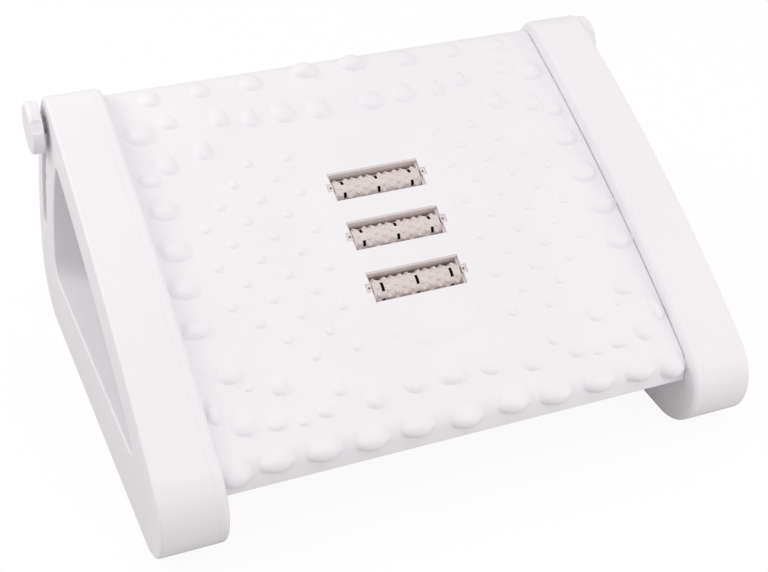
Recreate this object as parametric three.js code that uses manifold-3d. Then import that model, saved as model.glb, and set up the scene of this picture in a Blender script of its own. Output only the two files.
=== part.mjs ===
// Tilting under desk footrest
// Millimetres, +X to the right, +Y to the back, +Z up.
// Side views are drawn as (y, z) from the point on the base line below the nose centre.

import * as THREE from 'three';
import { mergeVertices } from 'three/addons/utils/BufferGeometryUtils.js';
import Module from 'manifold-3d';

const wasm = await Module();
wasm.setup();

const { abs, acos, atan2, cos, floor, max, min, sin, sqrt } = Math;
const halfTurn = Math.PI;
const quarterTurn = Math.PI / 2;
const radians = THREE.MathUtils.degToRad;

// Driving sizes of the whole footrest
const overallWidth = 450;
const fitGap = 0.3;
const cutOverrun = 1;
const weldDistance = 0.001;

// Side frame outline, with its back edge an arc about the nose centre
const noseRadius = 38.9;
const backRadius = 313.3;
const heelRadius = 45.1;
const apexRadius = 22.8;
const topRadius = 1200;
const topSlope = radians(34.65);

// Side frame moulding
const frameThickness = 48.5;
const frameWall = 3;
const frameEdgeRadius = 2.4;
const frameRib = 2;
const frameRibSpacing = 56;
const noseWebCount = 3;
const leanShare = 0.03;

// Window through the side frame
const sillHeight = 51;
const topBandWidth = 33;
const backBandWidth = 50.3;
const windowFrontRadius = 9.5;
const windowApexRadius = 10;
const windowHeelRadius = 14;

// Inner cover, a tray that closes the side frame
const coverDepth = 8;
const coverWall = 3;
const coverEdgeRadius = 3.6;

// Cover screws and their posts
const screwRadius = 1.4;
const screwHeadRadius = 3.2;
const screwHeadThickness = 1.6;
const screwLength = 14;
const postRadius = 4.4;
const topPostCount = 2;
const sillPostCount = 2;
const topPostShiftShare = 0.75;

// Front axle, which the foot plate tilts about
const pivotForward = 3;
const pivotRise = 11.1;
const axleRadius = 4;
const axleBossRadius = 8.2;
const axleEndDepth = 12;
const nutRadius = 7.4;
const nutThickness = 6.5;
const washerRadius = 8;
const washerThickness = 1.5;
const nutRoomGap = 2;

// Rear rod, which carries the knobs
const rodRadius = 4;
const rodInset = 17.3;
const rodTurn = radians(29.64);

// Curved slot for the rear rod, with rests for each tilt
const tiltRange = radians(20);
const restCount = 5;
const slotPlay = 0.5;
const restRadius = 7;
const restDepth = 1.8;
const slotWall = 2.4;
const bushWall = 1.7;

// Knobs
const knobRadius = 19.4;
const knobThickness = 9.4;
const knobChamfer = 2;
const knobDimpleCount = 3;
const knobDimpleRadius = 8;
const knobDimpleDepth = 1.6;
const knobDimpleTurn = radians(152);
const knobFloor = 2.4;

// Rubber foot pads
const padRadius = 10;
const padThickness = 3;
const padStandOff = 1.2;
const padSetback = 6;

// Foot plate section
const plateGap = 0.8;
const lipRollRadius = 16;
const lipRollForward = 5.4;
const lipRollRise = 16.2;
const lipDrop = 7.1;
const beadRadius = 15.2;
const treadRadius = 1550;
const skin = 3;
const ribDepth = 14;
const ribThickness = 2.5;
const sideWall = 3;
const middleBayHalf = 44.25;
const sideBayCount = 3;
const beadRibSetback = 22;
const beadCurlEnd = radians(-100);

// Hinge ears of the foot plate and their bushes
const earRadius = 9.8;
const earThickness = 8;
const earHeight = 40;
const flangeThickness = 1.2;
const flangeRadius = 8.2;

// Massage rollers, in slots up the middle of the foot plate
const rollerCount = 3;
const rollerPitch = 43.1;
const middleRollerOffset = 141.5;
const rollerSunk = 8.5;
const rollerLength = 68.2;
const rollerRadius = 10;
const studHeight = 1.4;
const studsAround = 7;
const studsPerLongBand = 3;
const ringGrooveWidth = 2.4;
const ringGrooveDepth = 3;
const ringGrooveOffset = 26.8;
const shaftRadius = 2;

// Roller slots in the foot plate
const slotLength = 71.4;
const slotWidth = 24;
const notchDepth = 4.1;
const notchWidth = 8.4;

// Roller cradles, held under the slots
const cradleWall = 1.3;
const cradleFloor = 1.5;
const rollerPlay = 0.4;
const cradleEarDepth = 12.5;
const cradleEarSunk = 0.6;
const cradleFlangeLength = 86;
const cradleFlangeWidth = 36;
const cradleFlangeThickness = 2;
const cradleBossHeight = 3;
const cradleBossRadius = 3.2;
const cradleScrewRadius = 1.2;
const cradleScrewHeadRadius = 2.8;
const cradleScrewHeadThickness = 1.8;
const cradleScrewSkin = 1.2;
const cradleScrewInset = 3.7;

// Raised panel round the rollers
const panelHeight = 0.9;
const panelHalfWidth = 50.5;

// Small nubs in a staggered grid on both sides of the panel
const nubRadius = 4.1;
const nubTopShare = 0.55;
const nubHeight = 1.5;
const nubRows = 11;
const nubRowPitch = 16.1;
const nubMiddleOffset = 138.5;
const nubColumns = 6;
const nubColumnPitch = 15.3;
const nubFirstColumnOffset = 59.5;
const nubBareColumns = 2;
const nubBareRows = 2;

// Largest pebble: half its length across the plate, half its width along it, and its height
const pebbleLength = 12;
const pebbleWidth = 10;
const pebbleHeight = 3.6;
const pebbleSunk = 0.1;
const domeProfileShares = [[0, -0.2], [1, -0.2], [0.7, 0.65], [0, 1]];

// Each pebble's place as shares of the plate's half width and the tread's length, and its size as shares
// of the largest pebble's length and width; mirrored left to right
const pebbleShares = [
  [0, -0.025, 1, 0.74], [0.208, -0.025, 1.02, 0.72], [0.398, -0.022, 1.04, 0.74], [0.593, -0.023, 1.04, 0.72],
  [0.786, -0.024, 1.02, 0.7], [0.938, -0.027, 0.88, 0.76],
  [0, 0.071, 0.99, 0.69], [0.165, 0.072, 0.73, 0.68], [0.34, 0.058, 0.71, 0.68], [0.465, 0.103, 0.42, 0.53],
  [0.545, 0.06, 0.58, 0.55], [0.639, 0.047, 0.42, 0.36], [0.74, 0.056, 0.66, 0.5], [0.868, 0.07, 0.68, 0.8],
  [0.69, 0.141, 0.58, 0.67], [0.808, 0.155, 0.27, 0.3], [0.86, 0.194, 0.8, 0.68], [0.965, 0.116, 0.45, 0.92],
  [0.93, 0.322, 0.97, 0.78], [0.93, 0.43, 0.97, 0.89], [0.915, 0.535, 0.98, 1], [0.905, 0.648, 0.9, 0.88],
  [0.922, 0.739, 0.72, 0.64], [0.835, 0.775, 0.67, 0.92], [0.67, 0.803, 0.62, 0.93], [0.9, 0.88, 0.92, 1.04],
  [0.771, 0.903, 0.68, 0.66], [0.553, 0.892, 0.58, 0.86], [0.428, 0.875, 0.55, 0.9], [0.278, 0.876, 0.79, 1],
  [0.12, 0.87, 0.8, 0.98],
  [0.112, 0.993, 0.72, 0.98], [0.362, 0.988, 0.75, 0.8], [0.59, 0.989, 0.66, 0.72], [0.81, 0.985, 0.69, 0.71],
];

// Facets of round things
const knobSides = 24;
const rodSides = 12;
const boreSides = 8;
const screwSides = 6;
const nutSides = 6;
const pebbleSides = 6;
const nubSides = 4;
const frameSteps = 5;
const windowSteps = 4;
const slotCapSteps = 4;
const slotWallSteps = 5;
const restSteps = 3;
const treadSteps = 7;

// Materials
const whitePlastic = new THREE.MeshStandardMaterial({ color: 0xf3f0f3, roughness: 0.45, metalness: 0 });
const beigePlastic = new THREE.MeshStandardMaterial({ color: 0xe1d7d2, roughness: 0.5, metalness: 0 });
const greyRubber = new THREE.MeshStandardMaterial({ color: 0x55504f, roughness: 0.85, metalness: 0 });
const platedSteel = new THREE.MeshStandardMaterial({ color: 0xb9bbbd, roughness: 0.35, metalness: 0.9 });
const brass = new THREE.MeshStandardMaterial({ color: 0xb08d4f, roughness: 0.4, metalness: 0.9 });

// Solids from meshes, and meshes from solids
function solid(geometry) {
  const bare = geometry.clone();
  bare.deleteAttribute('normal');
  bare.deleteAttribute('uv');
  const merged = mergeVertices(bare, weldDistance);
  const vertProperties = new Float32Array(merged.attributes.position.array);
  const triVerts = new Uint32Array(merged.index.array);
  return new wasm.Manifold(new wasm.Mesh({ numProp: 3, vertProperties, triVerts }));
}

function meshGeometry(body) {
  const { vertProperties, triVerts } = body.getMesh();
  const geometry = new THREE.BufferGeometry();
  geometry.setAttribute('position', new THREE.BufferAttribute(vertProperties, 3));
  geometry.setIndex(new THREE.BufferAttribute(triVerts, 1));
  geometry.computeVertexNormals();
  return geometry;
}

function joined(bodies) {
  return bodies.reduce((whole, body) => whole.add(body));
}

function cut(body, cutters) {
  return cutters.reduce((rest, cutter) => rest.subtract(cutter), body);
}

// The mirror image across the plane x = 0, with its faces still pointing out
function mirrored(geometry) {
  const image = geometry.clone().scale(-1, 1, 1);
  const order = image.index.array;
  for (let i = 0; i < order.length; i += 3) {
    [order[i], order[i + 1]] = [order[i + 1], order[i]];
  }
  image.computeVertexNormals();
  return image;
}

// Points of side views
function point(y, z) {
  return new THREE.Vector2(y, z);
}

function polar(centre, radius, turn) {
  return point(centre.x + radius * cos(turn), centre.y + radius * sin(turn));
}

function turnOf(from, to) {
  return atan2(to.y - from.y, to.x - from.x);
}

function arc(centre, radius, from, to, steps) {
  return new THREE.EllipseCurve(centre.x, centre.y, radius, radius, from, to, to < from).getPoints(steps);
}

// Where circles about a and b cross, on the left of the line from a to b
function crossing(a, radiusA, b, radiusB) {
  const direction = b.clone().sub(a).normalize();
  const distance = a.distanceTo(b);
  const along = (distance ** 2 + radiusA ** 2 - radiusB ** 2) / (2 * distance);
  const aside = sqrt(radiusA ** 2 - along ** 2);
  const left = point(-direction.y, direction.x);
  return a.clone().addScaledVector(direction, along).addScaledVector(left, aside);
}

function withoutRepeats(points) {
  return points.filter((p, i) => p.distanceTo(points[(i + 1) % points.length]) > weldDistance);
}

// A side view stretched from x = from to x = to
const sideways = new THREE.Matrix4().makeBasis(
  new THREE.Vector3(0, 1, 0), new THREE.Vector3(0, 0, 1), new THREE.Vector3(1, 0, 0));

function extrudeX(points, from, to, bevel = 0, bevelSteps = 1) {
  const geometry = new THREE.ExtrudeGeometry(new THREE.Shape(withoutRepeats(points)), {
    depth: to - from - 2 * bevel,
    bevelEnabled: bevel > 0,
    bevelThickness: bevel,
    bevelSize: bevel,
    bevelOffset: -bevel,
    bevelSegments: bevelSteps,
  });
  return geometry.applyMatrix4(sideways).translate(from + bevel, 0, 0);
}

function cylinderX(centre, radius, from, to, sides) {
  const geometry = new THREE.CylinderGeometry(radius, radius, to - from, sides);
  return geometry.rotateZ(-quarterTurn).translate((from + to) / 2, centre.x, centre.y);
}

// A many-sided bore that clears a round shaft of the given radius
function boreX(centre, radius, from, to, sides = boreSides) {
  return cylinderX(centre, radius / cos(halfTurn / sides), from, to, sides);
}

// A ring about the X axis from its outer radius in to its bore
function ringX(centre, radius, bore, from, to, sides) {
  return solid(cylinderX(centre, radius, from, to, sides))
    .subtract(solid(boreX(centre, bore, from - cutOverrun, to + cutOverrun)));
}

function box(sizeX, sizeY, sizeZ, centre) {
  return new THREE.BoxGeometry(sizeX, sizeY, sizeZ).translate(centre.x, centre.y, centre.z);
}

// Places that the pieces share
const frameOuter = overallWidth / 2;
const frameInner = frameOuter - frameThickness;
const coverOuter = frameInner + coverDepth;
const shellInner = coverOuter + fitGap;
const plateHalf = frameInner - plateGap;
const noseCentre = point(0, noseRadius);
const topCentre = polar(noseCentre, topRadius - noseRadius, topSlope - quarterTurn);
const pivot = point(noseCentre.x - pivotForward, noseCentre.y + pivotRise);
const rodCentre = polar(noseCentre, backRadius - rodInset, rodTurn);
const slotRadius = rodCentre.distanceTo(pivot);
const slotTop = turnOf(pivot, rodCentre);
const slotHalf = rodRadius + fitGap + bushWall + slotPlay;
const lowestRod = polar(pivot, slotRadius, slotTop - tiltRange);
const knobStandOff = outerFace(lowestRod.y - knobRadius) + fitGap;

// How far out the leaning outer face is at a height
function outerFace(height) {
  return frameOuter - leanShare * height;
}

function leanedOut(geometry) {
  const places = geometry.attributes.position;
  const middle = (shellInner + frameOuter) / 2;
  for (let i = 0; i < places.count; i += 1) {
    if (places.getX(i) > middle) {
      places.setX(i, places.getX(i) - leanShare * places.getZ(i));
    }
  }
  return geometry;
}

// A corner circle that touches the back arc and a level line above the base
function heelCorner(radius, level, backReach) {
  const height = level + radius;
  const reach = backReach - radius;
  return { radius, centre: point(sqrt(reach ** 2 - (height - noseCentre.y) ** 2), height) };
}

function apexCorner(radius, topReach, backReach) {
  return { radius, centre: crossing(noseCentre, backReach - radius, topCentre, topReach - radius) };
}

function frontCorner(radius, level, topReach) {
  const height = level + radius;
  const reach = topReach - radius;
  return { radius, centre: point(topCentre.x - sqrt(reach ** 2 - (height - topCentre.y) ** 2), height) };
}

const frameOutline = {
  topReach: topRadius,
  backReach: backRadius,
  front: { radius: noseRadius, centre: noseCentre },
  heel: heelCorner(heelRadius, 0, backRadius),
  apex: apexCorner(apexRadius, topRadius, backRadius),
};

const windowTop = topRadius - topBandWidth;
const windowBack = backRadius - backBandWidth;
const windowOutline = {
  topReach: windowTop,
  backReach: windowBack,
  front: frontCorner(windowFrontRadius, sillHeight, windowTop),
  heel: heelCorner(windowHeelRadius, sillHeight, windowBack),
  apex: apexCorner(windowApexRadius, windowTop, windowBack),
};

// Three corner circles joined by a level line, the back arc and the top arc, drawn in by an inset
function threeCornered({ topReach, backReach, front, heel, apex }, inset, steps) {
  const heelTurn = turnOf(noseCentre, heel.centre);
  const backTurn = turnOf(noseCentre, apex.centre);
  const apexTurn = turnOf(topCentre, apex.centre);
  const frontTurn = turnOf(topCentre, front.centre);
  return [
    ...arc(heel.centre, heel.radius - inset, -quarterTurn, 0, steps),
    ...arc(noseCentre, backReach - inset, heelTurn, backTurn, steps + 1),
    ...arc(apex.centre, apex.radius - inset, backTurn, quarterTurn, floor(steps / 2)),
    ...arc(apex.centre, apex.radius - inset, quarterTurn, apexTurn, 1),
    ...arc(topCentre, topReach - inset, apexTurn, frontTurn, steps + 2),
    ...arc(front.centre, front.radius - inset, frontTurn, halfTurn, floor(steps / 2)),
    ...arc(front.centre, front.radius - inset, halfTurn, halfTurn + quarterTurn, steps),
  ];
}

// The slot's outline about the pivot; its rests are on the side of the window
function slotOutline(grow, withRests) {
  const half = slotHalf + grow;
  const bottom = slotTop - tiltRange;
  const farSide = arc(pivot, slotRadius + half, bottom, slotTop, slotWallSteps);
  const topCap = arc(rodCentre, half, slotTop, slotTop + halfTurn, slotCapSteps);
  const bottomCap = arc(lowestRod, half, bottom + halfTurn, bottom + 2 * halfTurn, slotCapSteps);
  const nearSide = [];
  if (withRests) {
    const restShift = slotHalf + restDepth - restRadius;
    const restHalfTurn = acos((slotHalf - restShift) / restRadius);
    for (let rest = 1; rest < restCount - 1; rest += 1) {
      const turn = slotTop - (tiltRange * rest) / (restCount - 1);
      const centre = polar(pivot, slotRadius - restShift, turn);
      const middle = turn + halfTurn;
      nearSide.push(...arc(centre, restRadius, middle - restHalfTurn, middle + restHalfTurn, restSteps));
    }
  } else {
    nearSide.push(...arc(pivot, slotRadius - half, slotTop, bottom, slotWallSteps));
  }
  return [...farSide, ...topCap, ...nearSide, ...bottomCap];
}

// Middle lines of the frame's bands, where the screw posts stand
function screwPlaces() {
  const places = [];
  const apexTurn = turnOf(topCentre, frameOutline.apex.centre);
  const frontTurn = turnOf(topCentre, windowOutline.front.centre);
  for (let i = 0; i < topPostCount; i += 1) {
    const turn = apexTurn + ((frontTurn - apexTurn) * (i + topPostShiftShare)) / topPostCount;
    places.push(polar(topCentre, topRadius - topBandWidth / 2, turn));
  }
  const first = windowOutline.front.centre.x;
  const last = windowOutline.heel.centre.x;
  for (let i = 0; i < sillPostCount; i += 1) {
    places.push(point(first + ((last - first) * (i + 0.5)) / sillPostCount, sillHeight / 2));
  }
  return places;
}

// A thin web between two points of the side view
function web(from, to, thickness, start, end) {
  const run = to.clone().sub(from);
  const middle = from.clone().lerp(to, 0.5);
  const geometry = new THREE.BoxGeometry(end - start, run.length(), thickness);
  return geometry.rotateX(run.angle()).translate((start + end) / 2, middle.x, middle.y);
}

function frameWebs(start, end) {
  const webs = [];
  const first = windowOutline.front.centre.x;
  const last = frameOutline.heel.centre.x;
  const sillBays = floor((last - first) / frameRibSpacing);
  for (let i = 0; i <= sillBays; i += 1) {
    const y = first + ((last - first) * i) / sillBays;
    webs.push(web(point(y, 0), point(y, sillHeight), frameRib, start, end));
  }
  const apexTurn = turnOf(topCentre, windowOutline.apex.centre);
  const frontTurn = turnOf(topCentre, windowOutline.front.centre);
  const topBays = floor(((frontTurn - apexTurn) * topRadius) / frameRibSpacing);
  for (let i = 0; i <= topBays; i += 1) {
    const turn = apexTurn + ((frontTurn - apexTurn) * i) / topBays;
    const low = polar(topCentre, windowTop, turn);
    webs.push(web(low, polar(topCentre, topRadius, turn), frameRib, start, end));
  }
  for (const turn of [slotTop, slotTop - tiltRange / 2, slotTop - tiltRange]) {
    const near = polar(noseCentre, windowBack, turn);
    webs.push(web(near, polar(noseCentre, backRadius, turn), frameRib, start, end));
  }
  for (let i = 0; i < noseWebCount; i += 1) {
    const turn = topSlope + quarterTurn + (i * (halfTurn - topSlope)) / (noseWebCount - 1);
    webs.push(web(pivot, polar(noseCentre, noseRadius, turn), frameRib, start, end));
  }
  return webs;
}

function padPlaces() {
  const x = (shellInner + frameOuter) / 2;
  return [noseCentre.x + padSetback, frameOutline.heel.centre.x - padSetback].map((y) => ({ x, y }));
}

// Right side frame, hollow and open on its inner side
function sideFrame() {
  const block = solid(leanedOut(
    extrudeX(threeCornered(frameOutline, 0, frameSteps), frameInner, frameOuter, frameEdgeRadius, 2)));
  const innerTrim = solid(box(2 * (shellInner - frameInner), 4 * backRadius, 4 * backRadius,
    new THREE.Vector3(frameInner, 0, 0)));
  const hollow = solid(leanedOut(extrudeX(
    threeCornered(frameOutline, frameWall, frameSteps), shellInner - cutOverrun, frameOuter - frameWall)));
  const start = shellInner;
  const end = frameOuter;
  const windowTube = solid(extrudeX(threeCornered(windowOutline, -frameWall, windowSteps), start, end));
  const slotTube = solid(extrudeX(slotOutline(slotWall, false), start, end));
  const posts = screwPlaces().map((place) => solid(cylinderX(place, postRadius, start, end, screwSides)));
  const bossStart = outerFace(pivot.y) - frameWall - axleEndDepth;
  const boss = solid(cylinderX(pivot, axleBossRadius, bossStart, end, rodSides));
  const nutRoom = solid(cylinderX(
    pivot, washerRadius + nutRoomGap, shellInner - cutOverrun, bossStart, rodSides));
  const webs = frameWebs(start, end).map((geometry) => solid(geometry).subtract(nutRoom));
  const room = cut(hollow, [windowTube, slotTube, boss, ...posts, ...webs]);
  const window = solid(extrudeX(threeCornered(windowOutline, 0, windowSteps), frameInner, end + cutOverrun));
  const slot = solid(extrudeX(slotOutline(0, true), frameInner, end + cutOverrun));
  const screwHoles = screwPlaces().map((place) => solid(
    boreX(place, screwRadius + fitGap, shellInner - cutOverrun, shellInner + screwLength, screwSides)));
  const axleEnd = outerFace(pivot.y) - frameWall - fitGap;
  const axleHole = solid(boreX(pivot, axleRadius + fitGap, shellInner, axleEnd));
  const padSeats = padPlaces().map(({ x, y }) => solid(new THREE.CylinderGeometry(
    padRadius + fitGap, padRadius + fitGap, 2 * (padThickness - padStandOff), rodSides)
    .rotateX(quarterTurn).translate(x, y, 0)));
  return meshGeometry(cut(block, [innerTrim, room, window, slot, axleHole, ...screwHoles, ...padSeats]));
}

// Right inner cover
function innerCover() {
  const block = solid(extrudeX(
    threeCornered(frameOutline, 0, frameSteps), frameInner, frameInner + 2 * coverDepth, coverEdgeRadius, 2));
  const outerTrim = solid(box(2 * coverDepth, 4 * backRadius, 4 * backRadius,
    new THREE.Vector3(coverOuter + coverDepth, 0, 0)));
  const plateFace = frameInner + coverWall;
  const tray = solid(extrudeX(
    threeCornered(frameOutline, coverWall, frameSteps), plateFace, coverOuter + cutOverrun));
  const windowTube = solid(extrudeX(
    threeCornered(windowOutline, -coverWall, windowSteps), plateFace, coverOuter));
  const slotTube = solid(extrudeX(slotOutline(slotWall, false), plateFace, coverOuter));
  const boss = solid(cylinderX(pivot, axleBossRadius, plateFace, coverOuter, rodSides));
  const room = cut(tray, [windowTube, slotTube, boss]);
  const start = frameInner - cutOverrun;
  const end = coverOuter + cutOverrun;
  const window = solid(extrudeX(threeCornered(windowOutline, 0, windowSteps), start, end));
  const slot = solid(extrudeX(slotOutline(0, true), start, end));
  const axleHole = solid(boreX(pivot, axleRadius + fitGap, start, end));
  const screwHoles = screwPlaces().map((place) => solid(
    boreX(place, screwRadius + fitGap, start, end, screwSides)));
  const headSeats = screwPlaces().map((place) => solid(
    boreX(place, screwHeadRadius + fitGap, start, frameInner + screwHeadThickness + 2 * fitGap, screwSides)));
  return meshGeometry(cut(block, [outerTrim, room, window, slot, axleHole, ...screwHoles, ...headSeats]));
}

// A cover screw, its head sunk in the cover's inner face
function coverScrew(place) {
  const head = frameInner + fitGap;
  const neck = head + screwHeadThickness;
  return meshGeometry(solid(cylinderX(place, screwHeadRadius, head, neck, screwSides))
    .add(solid(cylinderX(place, screwRadius, head, shellInner + screwLength - fitGap, screwSides))));
}

function frontAxle() {
  const end = outerFace(pivot.y) - frameWall - 2 * fitGap;
  return cylinderX(pivot, axleRadius, -end, end, rodSides);
}

// A washer, then a nut, behind the cover's boss
function axleWasher() {
  return meshGeometry(ringX(pivot, washerRadius, axleRadius + fitGap,
    coverOuter + fitGap, coverOuter + fitGap + washerThickness, rodSides));
}

function axleNut() {
  const start = coverOuter + 2 * fitGap + washerThickness;
  return meshGeometry(ringX(pivot, nutRadius, axleRadius + fitGap, start, start + nutThickness, nutSides));
}

function footPad() {
  return new THREE.CylinderGeometry(padRadius, padRadius - padStandOff / 2, padThickness, rodSides)
    .rotateX(quarterTurn);
}

// Foot plate section: the lip's roll, the tread's arc and the bead round the rear rod
const rollCentre = point(noseCentre.x - lipRollForward, noseCentre.y + lipRollRise);
const treadCentre = crossing(rodCentre, treadRadius - beadRadius, rollCentre, treadRadius - lipRollRadius);
const treadFront = turnOf(treadCentre, rollCentre);
const treadBack = turnOf(treadCentre, rodCentre);
const treadLength = (treadFront - treadBack) * treadRadius;

function upperSide(inset, steps, beadEnd) {
  return [
    ...arc(rollCentre, lipRollRadius - inset, halfTurn, treadFront, 4),
    ...arc(treadCentre, treadRadius - inset, treadFront, treadBack, steps),
    ...arc(rodCentre, beadRadius - inset, treadBack, beadEnd, 8),
  ];
}

function plateOutline() {
  const underRadius = treadRadius - ribDepth;
  const beadJoint = crossing(treadCentre, underRadius, rodCentre, beadRadius);
  return [
    point(rollCentre.x - lipRollRadius, rollCentre.y - lipDrop),
    ...upperSide(0, treadSteps, turnOf(rodCentre, beadJoint)),
    ...arc(treadCentre, underRadius, turnOf(treadCentre, beadJoint), treadFront, 6),
    point(rollCentre.x - lipRollRadius + skin, rollCentre.y - lipDrop),
  ];
}

// Room under the skin, open below
function plateRoomOutline() {
  const low = rollCentre.y - 2 * lipRollRadius;
  const curlTip = polar(rodCentre, beadRadius + cutOverrun, beadCurlEnd);
  return [
    point(rollCentre.x - lipRollRadius + skin, low),
    ...upperSide(skin, 6, beadCurlEnd),
    curlTip,
    point(curlTip.x, low),
  ];
}

// A place on the tread: x across, run along the arc from the roll, and lift off the surface
function treadTurn(run) {
  return run < 0
    ? treadFront - run / lipRollRadius
    : treadFront - run / treadRadius;
}

function treadMatrix(x, run, lift = 0) {
  const turn = treadTurn(run);
  const base = run < 0 ? polar(rollCentre, lipRollRadius, turn) : polar(treadCentre, treadRadius, turn);
  const normal = new THREE.Vector3(0, cos(turn), sin(turn));
  const along = new THREE.Vector3(0, sin(turn), -cos(turn));
  const matrix = new THREE.Matrix4().makeBasis(new THREE.Vector3(1, 0, 0), along, normal);
  return matrix.setPosition(x, base.x + normal.y * lift, base.y + normal.z * lift);
}

function onTread(geometry, x, run, lift = 0) {
  return geometry.applyMatrix4(treadMatrix(x, run, lift));
}

function treadPoint(run, lift) {
  const place = new THREE.Vector3().setFromMatrixPosition(treadMatrix(0, run, lift));
  return point(place.y, place.z);
}

const rollerRuns = Array.from({ length: rollerCount },
  (_, i) => middleRollerOffset + (i - (rollerCount - 1) / 2) * rollerPitch);

// Bays between the long ribs, as pairs of x
function plateBays() {
  const reach = plateHalf - sideWall - middleBayHalf;
  const width = reach / sideBayCount - ribThickness;
  const bays = [[-middleBayHalf, middleBayHalf]];
  for (let i = 0; i < sideBayCount; i += 1) {
    const start = middleBayHalf + ribThickness + i * (width + ribThickness);
    bays.push([start, start + width], [-start - width, -start]);
  }
  return bays;
}

// Cross ribs, and a short rib up the middle where no cradle lies
function plateRibs() {
  const bar = (sizeX, length, run) => solid(onTread(
    new THREE.BoxGeometry(sizeX, length, 4 * ribDepth), 0, run));
  const width = 2 * plateHalf;
  const ribs = [bar(width, ribThickness, treadLength - beadRibSetback)];
  const frontRib = middleRollerOffset - (rollerCount / 2) * rollerPitch;
  const backRib = middleRollerOffset + (rollerCount / 2) * rollerPitch;
  const ribCount = rollerCount + 4;
  for (let i = 0; i < ribCount; i += 1) {
    ribs.push(bar(width, ribThickness, frontRib + (i - 1) * rollerPitch));
  }
  ribs.push(bar(ribThickness, 2 * frontRib, 0));
  ribs.push(bar(ribThickness, 2 * (treadLength - backRib), treadLength));
  return ribs;
}

function ears() {
  const low = arc(pivot, earRadius, halfTurn, 2 * halfTurn, 8);
  const top = pivot.y + earHeight;
  const shape = [...low, point(pivot.x + earRadius, top), point(pivot.x - earRadius, top)];
  const inside = [
    point(rollCentre.x - lipRollRadius + skin / 2, rollCentre.y - 2 * lipRollRadius),
    ...upperSide(skin / 2, 6, 0),
    point(rodCentre.x, rollCentre.y - 2 * lipRollRadius),
  ];
  return earStarts().map((start) => solid(extrudeX(shape, start, start + earThickness))
    .intersect(solid(extrudeX(inside, start, start + earThickness))));
}

function earStarts() {
  return [plateHalf - earThickness, middleBayHalf, -middleBayHalf - earThickness, -plateHalf];
}

// A dome that rises from a face, one unit in radius and in height
function dome(sides) {
  const profile = domeProfileShares.map(([reach, rise]) => point(reach, rise));
  return new THREE.LatheGeometry(profile, sides).rotateX(quarterTurn);
}

function pebble(side, [xShare, runShare, lengthShare, widthShare]) {
  const height = pebbleHeight * sqrt(lengthShare * widthShare);
  const shape = dome(pebbleSides).scale(pebbleLength * lengthShare, pebbleWidth * widthShare, height);
  return onTread(shape, side * xShare * plateHalf, runShare * treadLength, -pebbleSunk);
}

function pebbleGeometries() {
  return pebbleShares.flatMap((shares) => {
    const sides = shares[0] > 0 ? [-1, 1] : [1];
    return sides.map((side) => pebble(side, shares));
  });
}

function nubGeometries() {
  const nubs = [];
  const middle = (nubRows - 1) / 2;
  for (let row = 0; row < nubRows; row += 1) {
    for (let column = row % 2; column < nubColumns; column += 2) {
      const outer = column >= nubColumns - nubBareColumns;
      const atCorner = outer && abs(row - middle) > middle - nubBareRows;
      if (!atCorner) {
        for (const side of [-1, 1]) {
          const shape = new THREE.CylinderGeometry(
            nubTopShare * nubRadius, nubRadius, 2 * nubHeight, nubSides).rotateX(quarterTurn);
          const x = side * (nubFirstColumnOffset + column * nubColumnPitch);
          nubs.push(onTread(shape, x, nubMiddleOffset + (row - middle) * nubRowPitch));
        }
      }
    }
  }
  return nubs;
}

// A raised panel with round ends that follows the tread's arc
function panel() {
  const first = rollerRuns[0] - middleRollerOffset;
  const last = rollerRuns[rollerCount - 1] - middleRollerOffset;
  const shape = new THREE.Shape([
    ...arc(point(0, first), panelHalfWidth, halfTurn, 2 * halfTurn, 10),
    ...arc(point(0, last), panelHalfWidth, 0, halfTurn, 10),
  ]);
  const depth = 4 * panelHeight + skin;
  const prism = onTread(new THREE.ExtrudeGeometry(shape, { depth, bevelEnabled: false })
    .translate(0, 0, -skin), 0, middleRollerOffset);
  const band = [
    ...arc(treadCentre, treadRadius + panelHeight, treadFront, treadBack, treadSteps),
    ...arc(treadCentre, treadRadius - skin / 2, treadBack, treadFront, treadSteps),
  ];
  const reach = panelHalfWidth + cutOverrun;
  return solid(prism).intersect(solid(extrudeX(band, -reach, reach)));
}

// Cutters for one roller slot with the notches at its ends
function rollerSlot(run) {
  const depth = 4 * ribDepth;
  const slot = onTread(new THREE.BoxGeometry(slotLength, slotWidth, depth), 0, run);
  const notches = onTread(new THREE.BoxGeometry(slotLength + 2 * notchDepth, notchWidth, depth), 0, run);
  return solid(slot).add(solid(notches));
}

// Cradle screws stand at opposite corners of each flange
const cradleScrewPlaces = rollerRuns.flatMap((run) => [-1, 1].map((side) => ({
  run,
  x: side * (cradleFlangeLength / 2 - cradleScrewInset),
  along: side * (cradleFlangeWidth / 2 - cradleScrewInset),
})));

function uprightOnTread(radius, low, high, sides, { run, x, along }) {
  const geometry = new THREE.CylinderGeometry(radius, radius, high - low, sides);
  return solid(onTread(geometry.rotateX(quarterTurn).translate(0, along, (low + high) / 2), x, run));
}

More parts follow.
